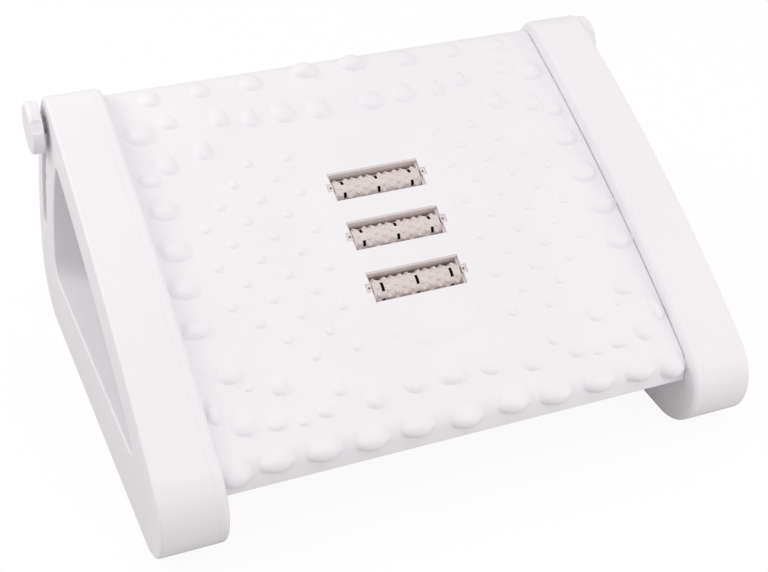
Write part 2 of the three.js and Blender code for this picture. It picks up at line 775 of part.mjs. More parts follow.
function footPlate() {
  const block = solid(extrudeX(plateOutline(), -plateHalf, plateHalf));
  const bays = joined(plateBays().map(([from, to]) => solid(extrudeX(plateRoomOutline(), from, to))));
  const rooms = cut(bays, plateRibs());
  const bosses = cradleScrewPlaces.map((place) => uprightOnTread(
    cradleBossRadius, -skin - cradleBossHeight, -skin / 2, screwSides, place));
  const between = solid(box(2 * plateHalf, 4 * backRadius, 4 * backRadius, new THREE.Vector3()));
  const raised = joined([...pebbleGeometries(), ...nubGeometries()].map(solid)).intersect(between);
  const body = joined([block.subtract(rooms), ...ears(), ...bosses, panel(), raised]);
  const rodBore = solid(boreX(rodCentre, rodRadius + fitGap, -frameInner, frameInner));
  const axleBore = solid(boreX(pivot, axleRadius + bushWall + 2 * fitGap, -frameInner, frameInner));
  const screwHoles = cradleScrewPlaces.map((place) => uprightOnTread(
    cradleScrewRadius + fitGap, -skin - cradleBossHeight - cutOverrun, -cradleScrewSkin, screwSides, place));
  return meshGeometry(cut(body, [rodBore, axleBore, ...rollerRuns.map(rollerSlot), ...screwHoles]));
}

// A bush in one ear, with its flange on the side away from the frame
function axleBush(start) {
  const inward = start > 0 ? -1 : 1;
  const face = start > 0 ? start : start + earThickness;
  const flange = face + inward * fitGap;
  const flangeEnd = flange + inward * flangeThickness;
  const far = face - inward * earThickness;
  const sleeve = cylinderX(
    pivot, axleRadius + bushWall + fitGap, min(flange, far), max(flange, far), boreSides);
  const collar = cylinderX(
    pivot, flangeRadius, min(flange, flangeEnd), max(flange, flangeEnd), boreSides);
  const bore = boreX(pivot, axleRadius + fitGap, -frameInner, frameInner);
  return meshGeometry(solid(sleeve).add(solid(collar)).subtract(solid(bore)));
}

// A spacer bush on the rear rod, from the foot plate to the knob
function slotBush() {
  return meshGeometry(ringX(rodCentre, rodRadius + fitGap + bushWall, rodRadius + fitGap,
    plateHalf + fitGap, knobStandOff - fitGap, rodSides));
}

function rearRod() {
  const end = knobStandOff + knobThickness - knobFloor - fitGap;
  return cylinderX(rodCentre, rodRadius, -end, end, rodSides);
}

// Right knob, with a six-sided seat for its nut and dimples round its rim
function knob() {
  const chamfer = knobChamfer;
  const profile = [
    point(0, 0), point(knobRadius - chamfer / 2, 0), point(knobRadius, chamfer / 2),
    point(knobRadius, knobThickness - chamfer), point(knobRadius - chamfer, knobThickness),
    point(0, knobThickness),
  ];
  const disc = new THREE.LatheGeometry(profile, knobSides).rotateZ(-quarterTurn)
    .translate(knobStandOff, rodCentre.x, rodCentre.y);
  const dimples = Array.from({ length: knobDimpleCount }, (_, i) => {
    const turn = knobDimpleTurn + (2 * halfTurn * i) / knobDimpleCount;
    const centre = polar(rodCentre, knobRadius + knobDimpleRadius - knobDimpleDepth, turn);
    return solid(cylinderX(centre, knobDimpleRadius,
      knobStandOff - cutOverrun, knobStandOff + knobThickness + cutOverrun, knobSides / 2));
  });
  const seat = solid(cylinderX(rodCentre, nutRadius + fitGap,
    knobStandOff - cutOverrun, knobStandOff + knobThickness - knobFloor, nutSides));
  return meshGeometry(cut(solid(disc), [seat, ...dimples]));
}

function knobNut() {
  return meshGeometry(ringX(rodCentre, nutRadius, rodRadius + fitGap,
    knobStandOff + fitGap, knobStandOff + knobThickness - knobFloor - fitGap, nutSides));
}

// A roller: studs stand in staggered rows between ring grooves
function massageRoller() {
  const core = rollerRadius - studHeight;
  const half = rollerLength / 2;
  const grooveHalf = ringGrooveWidth / 2;
  const bore = (shaftRadius + fitGap) / cos(halfTurn / studsAround / 2);
  const bands = [
    [-half, -ringGrooveOffset - grooveHalf, 1],
    [-ringGrooveOffset + grooveHalf, -grooveHalf, studsPerLongBand],
    [grooveHalf, ringGrooveOffset - grooveHalf, studsPerLongBand],
    [ringGrooveOffset + grooveHalf, half, 1],
  ];
  const rings = [];
  let row = 0;
  for (const [start, end, count] of bands) {
    rings.push({ x: start, radius: core - ringGrooveDepth * (start > -half ? 1 : 0), stud: -1 });
    for (let step = 0; step <= 2 * count; step += 1) {
      const x = start + ((end - start) * step) / (2 * count);
      rings.push({ x, radius: core, stud: step % 2 ? row % 2 : -1 });
      row += step % 2;
    }
    rings.push({ x: end, radius: core - ringGrooveDepth * (end < half ? 1 : 0), stud: -1 });
  }
  const around = 2 * studsAround;
  const closed = withoutFlatRings(rings);
  const section = [{ x: -half, radius: bore, stud: -1 }, ...closed, { x: half, radius: bore, stud: -1 }];
  const positions = [];
  const index = [];
  section.forEach(({ x, radius, stud }, ring) => {
    for (let i = 0; i < around; i += 1) {
      const turn = (2 * halfTurn * i) / around;
      const reach = stud >= 0 && i % 2 === stud ? rollerRadius : radius;
      positions.push(x, reach * cos(turn), reach * sin(turn));
      const next = (i + 1) % around;
      const following = (ring + 1) % section.length;
      const [a, b] = [ring * around + i, ring * around + next];
      const [c, d] = [following * around + i, following * around + next];
      index.push(a, b, c, b, d, c);
    }
  });
  const geometry = new THREE.BufferGeometry();
  geometry.setAttribute('position', new THREE.Float32BufferAttribute(positions, 3));
  geometry.setIndex(index);
  return meshGeometry(solid(geometry));
}

function withoutFlatRings(rings) {
  return rings.filter((ring, i) => {
    const next = rings[i + 1];
    return !next || next.x !== ring.x || next.radius !== ring.radius;
  });
}

// A cradle: a trough that fits the slot, with ears in the notches and a flange under the skin
function rollerCradle() {
  const length = slotLength - 2 * fitGap;
  const width = slotWidth - 2 * fitGap;
  const depth = rollerSunk + rollerRadius + rollerPlay + cradleFloor;
  const roomLength = rollerLength + 2 * rollerPlay;
  const roomDepth = depth - cradleFloor;
  const earLength = slotLength + 2 * (notchDepth - fitGap);
  const earWidth = notchWidth - 2 * fitGap;
  const flangeTop = -skin - cradleBossHeight - fitGap;
  const place = (sizeX, sizeY, top, bottom) => solid(box(sizeX, sizeY, top - bottom,
    new THREE.Vector3(0, 0, (top + bottom) / 2)));
  const trough = place(length, width, 0, -depth);
  const earBar = place(earLength, earWidth, -cradleEarSunk, -cradleEarDepth);
  const flange = place(cradleFlangeLength, cradleFlangeWidth, flangeTop, flangeTop - cradleFlangeThickness);
  const room = place(roomLength, width - 2 * cradleWall, cutOverrun, -roomDepth);
  const shaftBar = solid(boreX(
    point(0, -rollerSunk), shaftRadius + fitGap, -earLength, earLength, screwSides));
  const shaftWay = place(2 * earLength, 2 * (shaftRadius + fitGap), cutOverrun, -rollerSunk);
  const holeX = cradleFlangeLength / 2 - cradleScrewInset;
  const holeY = cradleFlangeWidth / 2 - cradleScrewInset;
  const holes = [-1, 1].map((side) => solid(new THREE.CylinderGeometry(
    cradleScrewRadius + fitGap, cradleScrewRadius + fitGap, depth, screwSides)
    .rotateX(quarterTurn).translate(side * holeX, side * holeY, flangeTop)));
  return cut(joined([trough, earBar, flange]), [room, shaftBar, shaftWay, ...holes]);
}

function cradleScrew(place) {
  const neck = -skin - cradleBossHeight - cradleFlangeThickness - 2 * fitGap;
  const low = neck - cradleScrewHeadThickness;
  return meshGeometry(uprightOnTread(cradleScrewHeadRadius, low, neck, screwSides, place)
    .add(uprightOnTread(cradleScrewRadius, low, -cradleScrewSkin - fitGap, screwSides, place)));
}

function rollerShaft() {
  const half = slotLength / 2 + notchDepth - 2 * fitGap;
  return cylinderX(point(0, 0), shaftRadius, -half, half, screwSides);
}

// The scene graph
const footrest = new THREE.Group();
const chassis = new THREE.Group();
const tiltingPlate = new THREE.Group();
footrest.add(chassis, tiltingPlate);

function addPiece(group, name, geometry, material, position) {
  const mesh = new THREE.Mesh(geometry, material);
  mesh.name = name;
  if (position) {
    mesh.position.copy(position);
  }
  group.add(mesh);
}

function addPair(group, name, geometry, material) {
  addPiece(group, `right_${name}`, geometry, material);
  addPiece(group, `left_${name}`, mirrored(geometry), material);
}

addPair(chassis, 'side_frame', sideFrame(), whitePlastic);
addPair(chassis, 'inner_cover', innerCover(), whitePlastic);
screwPlaces().forEach((place, i) => {
  addPair(chassis, `cover_screw_${i + 1}`, coverScrew(place), platedSteel);
});
addPiece(chassis, 'front_axle_rod', frontAxle(), platedSteel);
addPair(chassis, 'axle_washer', axleWasher(), platedSteel);
addPair(chassis, 'axle_nut', axleNut(), platedSteel);
padPlaces().forEach(({ x, y }, i) => {
  const height = padThickness / 2 - padStandOff;
  addPiece(chassis, `right_foot_pad_${i + 1}`, footPad(), greyRubber, new THREE.Vector3(x, y, height));
  addPiece(chassis, `left_foot_pad_${i + 1}`, footPad(), greyRubber, new THREE.Vector3(-x, y, height));
});

addPiece(tiltingPlate, 'foot_plate', footPlate(), whitePlastic);
earStarts().forEach((start, i) => {
  addPiece(tiltingPlate, `axle_bush_${i + 1}`, axleBush(start), beigePlastic);
});
addPiece(tiltingPlate, 'rear_rod', rearRod(), platedSteel);
addPair(tiltingPlate, 'slot_bush', slotBush(), beigePlastic);
addPair(tiltingPlate, 'knob', knob(), whitePlastic);
addPair(tiltingPlate, 'knob_nut', knobNut(), brass);
cradleScrewPlaces.forEach((place, i) => {
  addPiece(tiltingPlate, `cradle_screw_${i + 1}`, cradleScrew(place), platedSteel);
});
rollerRuns.forEach((run, i) => {
  const axis = treadPoint(run, -rollerSunk);
  const place = new THREE.Vector3(0, axis.x, axis.y);
  const cradle = onTread(meshGeometry(rollerCradle()), 0, run);
  addPiece(tiltingPlate, `roller_cradle_${i + 1}`, cradle, beigePlastic);
  addPiece(tiltingPlate, `roller_shaft_${i + 1}`, rollerShaft(), platedSteel, place);
  addPiece(tiltingPlate, `massage_roller_${i + 1}`, massageRoller(), beigePlastic, place);
});

// The origin is on the floor, below the middle of the footrest
const front = noseCentre.x - noseRadius;
const back = frameOutline.heel.centre.x + heelRadius;
footrest.position.set(0, -(front + back) / 2, padStandOff);

export default footrest;
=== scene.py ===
# Tilting under desk footrest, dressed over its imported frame
import math
import bmesh
import bpy
import numpy as np
from mathutils import Matrix, Vector
from mathutils.geometry import tessellate_polygon


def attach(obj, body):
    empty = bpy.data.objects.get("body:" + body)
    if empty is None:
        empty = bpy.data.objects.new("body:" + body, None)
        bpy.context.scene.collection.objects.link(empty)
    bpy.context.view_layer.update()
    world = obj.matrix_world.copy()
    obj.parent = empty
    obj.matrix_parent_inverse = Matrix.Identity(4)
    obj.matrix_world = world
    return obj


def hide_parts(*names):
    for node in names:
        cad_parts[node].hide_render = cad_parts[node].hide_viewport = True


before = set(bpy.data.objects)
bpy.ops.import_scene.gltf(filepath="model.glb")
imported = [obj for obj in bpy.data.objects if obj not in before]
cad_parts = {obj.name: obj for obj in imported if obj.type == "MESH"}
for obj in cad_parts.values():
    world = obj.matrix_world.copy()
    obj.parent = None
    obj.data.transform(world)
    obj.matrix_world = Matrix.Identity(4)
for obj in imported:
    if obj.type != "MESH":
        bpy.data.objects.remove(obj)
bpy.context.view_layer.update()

# Sizes in millimetres. Side views are (y, z) from the point on the base line below the nose centre
overall_width = 450
fit_gap = 0.3
bore_bevel = 0.3
origin = (0, 0)

# The step between faces of joined bodies that would lie in one plane
overlap_step = 0.05

# Side frames and their inner covers
nose_radius = 38.9
back_radius = 313.3
heel_radius = 45.1
apex_radius = 22.8
top_radius = 1200
top_slope = math.radians(34.65)
frame_thickness = 48.5
frame_wall = 3
frame_edge_radius = 2.4
lean_share = 0.03
sill_height = 51
top_band_width = 33
back_band_width = 50.3
window_radii = {"front": 9.5, "heel": 14, "apex": 10}
window_edge_radius = 1.6
cover_depth = 8
cover_wall = 3
cover_edge_radius = 3.6
seam_gap = 0.02
seam_edge_radius = 0.08

# Curved slots with their rests
tilt_range = math.radians(20)
slot_half = 6.5
slot_wall = 2.4
slot_edge_radius = 0.8
rest_count = 5
rest_radius = 7
rest_depth = 1.8

# Foot pads and cover screws
pad_stand_off = 1.2
pad_radius = 10
pad_sunk = 1.8
pad_setback = 6
cover_screw_head_radius = 3.2
cover_screw_head_height = 1.6
cover_screw_shank_radius = 1.4
cover_screw_length = 14
top_screw_shares = (0.375, 0.875)
sill_screw_shares = (0.25, 0.75)
screw_bore_radius = 1.7
screw_seat_radius = 3.5
screw_seat_depth = 2.2

# Axle, rod, bushes and nuts
pivot_forward = 3
pivot_rise = 11.1
axle_radius = 4
axle_bevel = 0.8
rod_radius = 4
rod_bevel = 0.7
rod_inset = 17.3
rod_turn = math.radians(29.64)
washer_radius = 8
washer_thickness = 1.5
bush_wall = 1.7
bush_flange_radius = 8.2
bush_flange_thickness = 1.2
nut_radius = 7.4
nut_bevel = 0.4
axle_nut_thickness = 6.5
axle_nut_bevel = 0.5
knob_nut_thickness = 6.4

# Knobs; a finger dimple's level and rise are shares of the knob's thickness
knob_radius = 19.4
knob_thickness = 9.4
knob_floor = 2.4
knob_edge_radius = 3
knob_back_edge_radius = 1
knob_wall_step = 0.4
knob_dimple_depth = 1.5
knob_dimple_reach = 5.2
knob_dimple_turn = math.radians(152)
knob_dimple_level = 0.48
knob_dimple_rise = 0.44
knob_seat_flare = 0.7

# Foot plate
plate_gap = 0.3
lip_roll_radius = 16
lip_roll_forward = 5.4
lip_roll_rise = 16.2
lip_flare = math.radians(9)
lip_drop = 10.9
bead_radius = 15.2
bead_curl_end = math.radians(-100)
tread_radius = 1550
skin = 3
plate_edge_radius = 1
plate_under_bevel = 0.5
lip_stripe = 0.8
tread_stripe = 6
bead_stripe = 1
rib_depth = 14
rib_thickness = 2.5
rib_edge = 0.3
rib_lip_gap = 6
rib_past_tread = 18
bead_rib_setback = 22
side_wall = 3
side_wall_lead = 2
side_wall_end = math.radians(-205)
middle_bay_half = 44.25
side_bay_count = 3
ear_radius = 9.8
ear_thickness = 8
ear_edge = 0.6

# Panel, nubs and pebbles
panel_height = 0.9
panel_half_width = 50.5
panel_ramp = 3.6
panel_sunk = 0.3
panel_slot_edge = 0.15
nub_radius = 4.1
nub_height = 1.5
nub_rows = 11
nub_row_pitch = 16.1
nub_middle_run = 138.5
nub_columns = 6
nub_column_pitch = 15.3
nub_first_column = 59.5
nub_corner = 2
pebble_length = 12
pebble_width = 10
pebble_height = 4.3
edge_pebble_growth = 1.6
pebble_skew = 0.03
pebble_skew_step = 2.1
crest_share = 0.1
lobe_turn = 0.6
small_lobe_share = 0.5
small_lobe_phase = 80

# Rollers, their shafts and slots
roller_pitch = 43.1
middle_roller_run = 141.5
roller_sunk = 8.5
roller_length = 68.2
roller_radius = 10
roller_edge = 0.4
roller_step = 0.5
roller_turn_steps = 132
roller_turns = [math.radians(3.5), math.radians(-104.7), math.radians(-101.1)]
stud_height = 1.4
stud_radius = 1.75
studs_around = 10
end_stud_gap = 1
stud_centre_drop = 0.5
shaft_radius = 2
shaft_bevel = 0.4
slit_offset = 26.8
slit_width = 2.2
slit_depth = 3.2
slit_ramp = 0.06
slit_clearance = 0.2
slit_turn_ramp = 0.006
slit_turn_clearance = 0.02
long_slit_half = math.radians(24)
short_slit_half = math.radians(15)
first_short_slit = math.radians(77)
short_slit_pitch = math.radians(72)
slot_length = 71.4
slot_width = 24
notch_depth = 3.5
notch_width = 6.6

# Roller cradles with their screws
cradle_fit = 0.12
cradle_wall = 1.3
cradle_floor = 1.5
cradle_depth = 20.4
cradle_edge = 0.2
cradle_low_wall_drop = 2.4
roller_play = 0.1
tab_depth = 12.5
tab_lap = 0.5
tab_drop = 0.3
tab_bevel = 0.2
tab_bevel_scale = 0.996
tab_hole_offset = 1.5
tab_hole_floor = -7
tab_hole_radii = (0.85, 0.95, 1.1)
cradle_flange_length = 86
cradle_flange_width = 36
cradle_flange_thickness = 2
cradle_flange_lap = 1
boss_height = 3
boss_sunk = 1
boss_radius = 3.2
boss_bore_radius = 1.5
cradle_screw_inset = 3.7
cradle_screw_head_radius = 2.8
cradle_screw_head_height = 1.8
cradle_screw_shank_radius = 1.2
cradle_screw_hold = 1.5

# Camera: its place in metres, its turns in degrees and its focal length in pixels of the image
camera_place = (-0.3764, -0.8529, 0.7177)
camera_turns = (24.029, 34.809, 2.224)
focal_pixels = 1481.11
image_width = 768
sensor_width = 36

half_turn = math.pi
quarter_turn = math.pi / 2
full_turn = 2 * math.pi
frame_outer = overall_width / 2
frame_inner = frame_outer - frame_thickness
cover_outer = frame_inner + cover_depth
shell_inner = cover_outer + fit_gap
plate_half = frame_inner - plate_gap
roller_half = roller_length / 2


# Side view geometry
def polar(centre, radius, turn):
    return np.array([centre[0] + radius * math.cos(turn), centre[1] + radius * math.sin(turn)])


def turn_of(start, end):
    return math.atan2(end[1] - start[1], end[0] - start[0])


def arc(centre, radius, start, end, steps, closed=False):
    turns = np.linspace(start, end, steps + closed, endpoint=closed)
    return np.column_stack([centre[0] + radius * np.cos(turns), centre[1] + radius * np.sin(turns)])


def crossing(a, radius_a, b, radius_b):
    a, b = np.array(a, float), np.array(b, float)
    reach = np.linalg.norm(b - a)
    direction = (b - a) / reach
    along = (reach ** 2 + radius_a ** 2 - radius_b ** 2) / (2 * reach)
    aside = math.sqrt(radius_a ** 2 - along ** 2)
    return a + direction * along + np.array([-direction[1], direction[0]]) * aside


nose_centre = np.array([0.0, nose_radius])
top_centre = polar(nose_centre, top_radius - nose_radius, top_slope - quarter_turn)
pivot = nose_centre + np.array([-pivot_forward, pivot_rise])
rod_centre = polar(nose_centre, back_radius - rod_inset, rod_turn)
slot_radius = np.linalg.norm(rod_centre - pivot)
slot_top = turn_of(pivot, rod_centre)
lowest_rod = polar(pivot, slot_radius, slot_top - tilt_range)
knob_stand_off = frame_outer - lean_share * (lowest_rod[1] - knob_radius) + fit_gap


def corner(centre, reach, way, radius, level):
    """The centre of a corner that stands on a level and touches a large arc from inside."""
    height = level + radius
    away = math.sqrt((reach - radius) ** 2 - (height - centre[1]) ** 2)
    return np.array([centre[0] + way * away, height])


def corners(radii, level, top_reach, back_reach):
    apex = radii["apex"]
    return {
        "radii": radii,
        "top": top_reach,
        "back": back_reach,
        "front": corner(top_centre, top_reach, -1, radii["front"], level),
        "heel": corner(nose_centre, back_reach, 1, radii["heel"], level),
        "apex": crossing(nose_centre, back_reach - apex, top_centre, top_reach - apex),
    }


frame_radii = {"front": nose_radius, "heel": heel_radius, "apex": apex_radius}
frame_outline = corners(frame_radii, 0, top_radius, back_radius)
window_outline = corners(
    window_radii, sill_height, top_radius - top_band_width, back_radius - back_band_width)


def three_cornered(shape, inset):
    heel_turn = turn_of(nose_centre, shape["heel"])
    back_turn = turn_of(nose_centre, shape["apex"])
    apex_turn = turn_of(top_centre, shape["apex"])
    front_turn = turn_of(top_centre, shape["front"])
    radii = shape["radii"]
    return np.vstack([
        arc(shape["heel"], radii["heel"] - inset, -quarter_turn, heel_turn, 24),
        arc(nose_centre, shape["back"] - inset, heel_turn, back_turn, 40),
        arc(shape["apex"], radii["apex"] - inset, back_turn, apex_turn, 24),
        arc(top_centre, shape["top"] - inset, apex_turn, front_turn, 40),
        arc(shape["front"], radii["front"] - inset, front_turn, 3 * quarter_turn, 30, True),
    ])


def slot_outline(inset):
    """The curved slot with its rests; an inset below zero grows it."""
    half = slot_half - inset
    bottom = slot_top - tilt_range
    reach = rest_radius - inset
    rest_shift = slot_half + rest_depth - rest_radius
    opening = math.acos((half - rest_shift) / reach)
    near = []
    for rest in range(1, rest_count - 1):
        turn = slot_top - tilt_range * rest / (rest_count - 1)
        centre = polar(pivot, slot_radius - rest_shift, turn)
        near.append(arc(centre, reach, turn + half_turn - opening, turn + half_turn + opening, 9, True))
    return np.vstack([
        arc(pivot, slot_radius + half, bottom, slot_top, 30),
        arc(rod_centre, half, slot_top, slot_top + half_turn, 20, True),
        *near,
        arc(polar(pivot, slot_radius, bottom), half, bottom + half_turn, bottom + full_turn, 20),
    ])


def ring(centre, radius, steps=32):
    return arc(centre, radius, 0, full_turn, steps)


def rectangle(low, high, inset):
    x1, y1, x2, y2 = low[0] + inset, low[1] + inset, high[0] - inset, high[1] - inset
    return np.array([[x1, y1], [x2, y1], [x2, y2], [x1, y2]])


def rounded(steps):
    """A rounded edge, as pairs of share along and share inset, from the wall round to the face."""
    turns = np.linspace(0, quarter_turn, steps + 1)
    return [(math.sin(turn), 1 - math.cos(turn)) for turn in turns]


# Meshes
def added(name, data):
    made = bpy.data.objects.new(name, data)
    bpy.context.scene.collection.objects.link(made)
    return made


class Shape:
    """Vertices and faces gathered from several closed bodies."""

    def __init__(self):
        self.mesh = bmesh.new()

    def skin(self, rows, closed=False):
        for low, high in zip(rows, rows[1:] + (rows[:1] if closed else [])):
            for i in range(len(low)):
                j = (i + 1) % len(low)
                self.mesh.faces.new((low[i], low[j], high[j], high[i]))

    def tracks(self, through, blind=()):
        """A body whose tracks of rings, each an outline at a height, are capped at both ends. A blind
        track starts at a floor of its own and opens in the last face."""
        first, last = [], []
        for number, track in enumerate([*through, *blind]):
            rows = [
                [self.mesh.verts.new((a, b, height)) for a, b in outline]
                for outline, height in track]
            self.skin(rows)
            last.append(rows[-1])
            if number < len(through):
                first.append(rows[0])
            else:
                self.cap([rows[0]])
        self.cap(first)
        self.cap(last)
        return self

    def cap(self, loops):
        every = [vertex for loop in loops for vertex in loop]
        flat = [[Vector((v.co.x, v.co.y, 0)) for v in loop] for loop in loops]
        for a, b, c in tessellate_polygon(flat):
            self.mesh.faces.new((every[a], every[b], every[c]))

    def turned(self, profile, steps=64, closed=False):
        """A body about the height axis from (radius, height) pairs, solid or ring-shaped."""
        turns = np.linspace(0, full_turn, steps, endpoint=False)
        rows = [
            [self.mesh.verts.new((radius * math.cos(turn), radius * math.sin(turn), height))
             for turn in turns]
            for radius, height in profile]
        self.skin(rows, closed)
        if not closed:
            self.mesh.faces.new(rows[0])
            self.mesh.faces.new(rows[-1])
        return self

    def block(self, low, high, edge=0.4):
        """A box with bevelled top and bottom edges."""
        low, high = np.minimum(low, high), np.maximum(low, high)
        inner, outline = rectangle(low, high, edge), rectangle(low, high, 0)
        return self.tracks([[
            (inner, low[2]), (outline, low[2] + edge), (outline, high[2] - edge), (inner, high[2])]])

    def striped(self, places):
        """Cuts the faces along lines of constant run, so that they can follow a curve."""
        for place in places:
            bmesh.ops.bisect_plane(
                self.mesh, geom=self.mesh.verts[:] + self.mesh.edges[:] + self.mesh.faces[:],
                dist=1e-5, plane_co=(0, place, 0), plane_no=(0, 1, 0))
        return self

    def mapped(self, change):
        places = np.array([vertex.co for vertex in self.mesh.verts], float)
        for vertex, place in zip(self.mesh.verts, change(places)):
            vertex.co = place
        return self

    def add(self, other):
        copy = bpy.data.meshes.new("part")
        other.mesh.to_mesh(copy)
        self.mesh.from_mesh(copy)
        bpy.data.meshes.remove(copy)
        return self

    def piece(self, node, suffix, materials, body, finish, sharp=35, weighted=True):
        """Makes the piece that stands for a node, on its body; the finish argument is not used."""
        bmesh.ops.recalc_face_normals(self.mesh, faces=self.mesh.faces)
        name = f"{node}_{suffix}"
        data = bpy.data.meshes.new(name)
        self.mesh.to_mesh(data)
        self.mesh.free()
        data.shade_smooth()
        data.set_sharp_from_angle(angle=math.radians(sharp))
        for material in materials:
            data.materials.append(material)
        made = added(name, data)
        if weighted:
            normals = made.modifiers.new("even_normals", "WEIGHTED_NORMAL")
            normals.keep_sharp = True
        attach(made, body)
        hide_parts(node)


# From millimetres about the nose to the row frame in metres
footprint_middle = (nose_centre[0] - nose_radius + frame_outline["heel"][0] + heel_radius) / 2


def placed(x, y, z):
    return 0.001 * np.column_stack([
        np.broadcast_to(x, np.shape(y)), y - footprint_middle, np.asarray(z) + pad_stand_off])


def sideways(side, leaning=False):
    """From a side view's (y, z, x) to the row frame; the outer half of a frame leans in."""
    middle = (shell_inner + frame_outer) / 2

    def change(places):
        y, z, x = places.T
        if leaning:
            x = np.where(x > middle, x - lean_share * z, x)
        return placed(side * x, y, z)

    return change


def about(centre, start, side=1):
    """From a height axis to the X axis at a place of the side view."""
    return lambda places: placed(
        side * (start + places[:, 2]), centre[0] + places[:, 0], centre[1] + places[:, 1])


# Tread geometry
roll_centre = nose_centre + np.array([-lip_roll_forward, lip_roll_rise])
tread_centre = crossing(
    rod_centre, tread_radius - bead_radius, roll_centre, tread_radius - lip_roll_radius)
tread_front = turn_of(tread_centre, roll_centre)
tread_back = turn_of(tread_centre, rod_centre)
tread_length = (tread_front - tread_back) * tread_radius
lip_run = -(half_turn - lip_flare - tread_front) * lip_roll_radius
lip_end = lip_run - lip_drop
curl_run = tread_length + (tread_back - bead_curl_end) * bead_radius
side_wall_run = tread_length + (tread_back - side_wall_end) * bead_radius


def on_tread(places):
    """From (x, run along the tread, lift off it) to the row frame."""
    x, run, lift = places.T
    on_lip, on_bead = run < 0, run > tread_length
    drop = np.minimum(run - lip_run, 0)
    rolled = np.clip(run, lip_run, 0)
    beaded = np.maximum(run - tread_length, 0)
    treaded = np.clip(run, 0, tread_length)
    turn = tread_front - rolled / lip_roll_radius - treaded / tread_radius - beaded / bead_radius

    def pick(lip, bead, tread):
        return np.where(on_lip, lip, np.where(on_bead, bead, tread))

    centre_y, centre_z = map(pick, roll_centre, rod_centre, tread_centre)
    radius = pick(lip_roll_radius, bead_radius, tread_radius)
    y = centre_y + (radius + lift) * np.cos(turn) + drop * math.sin(lip_flare)
    z = centre_z + (radius + lift) * np.sin(turn) + drop * math.cos(lip_flare)
    return placed(x, y, z)


def tread_height(y):
    """The height of the tread's surface over a place of the side view."""
    if y < roll_centre[0] + lip_roll_radius * math.cos(tread_front):
        return roll_centre[1] + math.sqrt(lip_roll_radius ** 2 - (y - roll_centre[0]) ** 2)
    return tread_centre[1] + math.sqrt(tread_radius ** 2 - (y - tread_centre[0]) ** 2)


every_stripe = [
    *np.arange(lip_run, lip_stripe / 8, lip_stripe),
    *np.arange(tread_stripe, tread_length, tread_stripe),
    *np.arange(tread_length, side_wall_run, bead_stripe)]


# Materials
def filled(node, inputs):
    for key, value in inputs.items():
        node.inputs[key].default_value = value
    return node


def node_of(tree, kind, inputs=None, **settings):
    made = tree.nodes.new(kind)
    for key, value in settings.items():
        setattr(made, key, value)
    return filled(made, inputs or {})


def mixed(tree, share, first, second, output):
    """Shows the second shader by a share, and the first by the rest."""
    mix = node_of(tree, "ShaderNodeMixShader")
    tree.links.new(share.outputs[0], mix.inputs["Fac"])
    tree.links.new(first.outputs[0], mix.inputs[1])
    tree.links.new(second.outputs[0], mix.inputs[2])
    tree.links.new(mix.outputs[0], tree.nodes[output].inputs["Surface"])


def moulded(name, light, dark, roughness, grain, grain_depth):
    """A moulded surface: cloudy colour, uneven gloss and a fine grain."""
    made = bpy.data.materials.new(name)
    made.use_nodes = True
    tree = made.node_tree
    shader = tree.nodes["Principled BSDF"]
    place = node_of(tree, "ShaderNodeTexCoord", name="place")
    cloud = node_of(tree, "ShaderNodeTexNoise", {"Scale": 14.0, "Detail": 3.0, "Roughness": 0.55})
    colours = node_of(tree, "ShaderNodeValToRGB")
    colours.color_ramp.elements[0].position = 0.35
    colours.color_ramp.elements[1].position = 0.65
    colours.color_ramp.elements[0].color = (*dark, 1)
    colours.color_ramp.elements[1].color = (*light, 1)
    gloss = node_of(tree, "ShaderNodeTexNoise", {"Scale": 60.0, "Detail": 2.0})
    gloss_range = node_of(tree, "ShaderNodeMapRange", {
        "From Min": 0.3, "From Max": 0.7, "To Min": roughness - 0.05, "To Max": roughness + 0.05})
    grains = node_of(
        tree, "ShaderNodeTexNoise", {"Scale": grain, "Detail": 4.0, "Roughness": 0.6}, name="grain")
    bump = node_of(tree, "ShaderNodeBump", {"Strength": 0.6, "Distance": grain_depth})
    link = tree.links.new
    for texture in (cloud, gloss, grains):
        link(place.outputs["Object"], texture.inputs["Vector"])
    link(cloud.outputs["Fac"], colours.inputs["Fac"])
    link(colours.outputs["Color"], shader.inputs["Base Color"])
    link(gloss.outputs["Fac"], gloss_range.inputs["Value"])
    link(gloss_range.outputs["Result"], shader.inputs["Roughness"])
    link(grains.outputs["Fac"], bump.inputs["Height"])
    link(bump.outputs["Normal"], shader.inputs["Normal"])
    return made


def metal(name, light, dark, roughness, stretch, depth):
    """A metal with fine turned or drawn lines along one direction."""
    made = moulded(name, light, dark, roughness, 900, depth)
    tree = made.node_tree
    filled(tree.nodes["Principled BSDF"], {"Metallic": 1})
    lines = filled(tree.nodes["grain"], {"Detail": 2, "Roughness": 0.5})
    squeeze = node_of(tree, "ShaderNodeMapping", {"Scale": stretch})
    tree.links.new(tree.nodes["place"].outputs["Object"], squeeze.inputs["Vector"])
    tree.links.new(squeeze.outputs["Vector"], lines.inputs["Vector"])
    return made


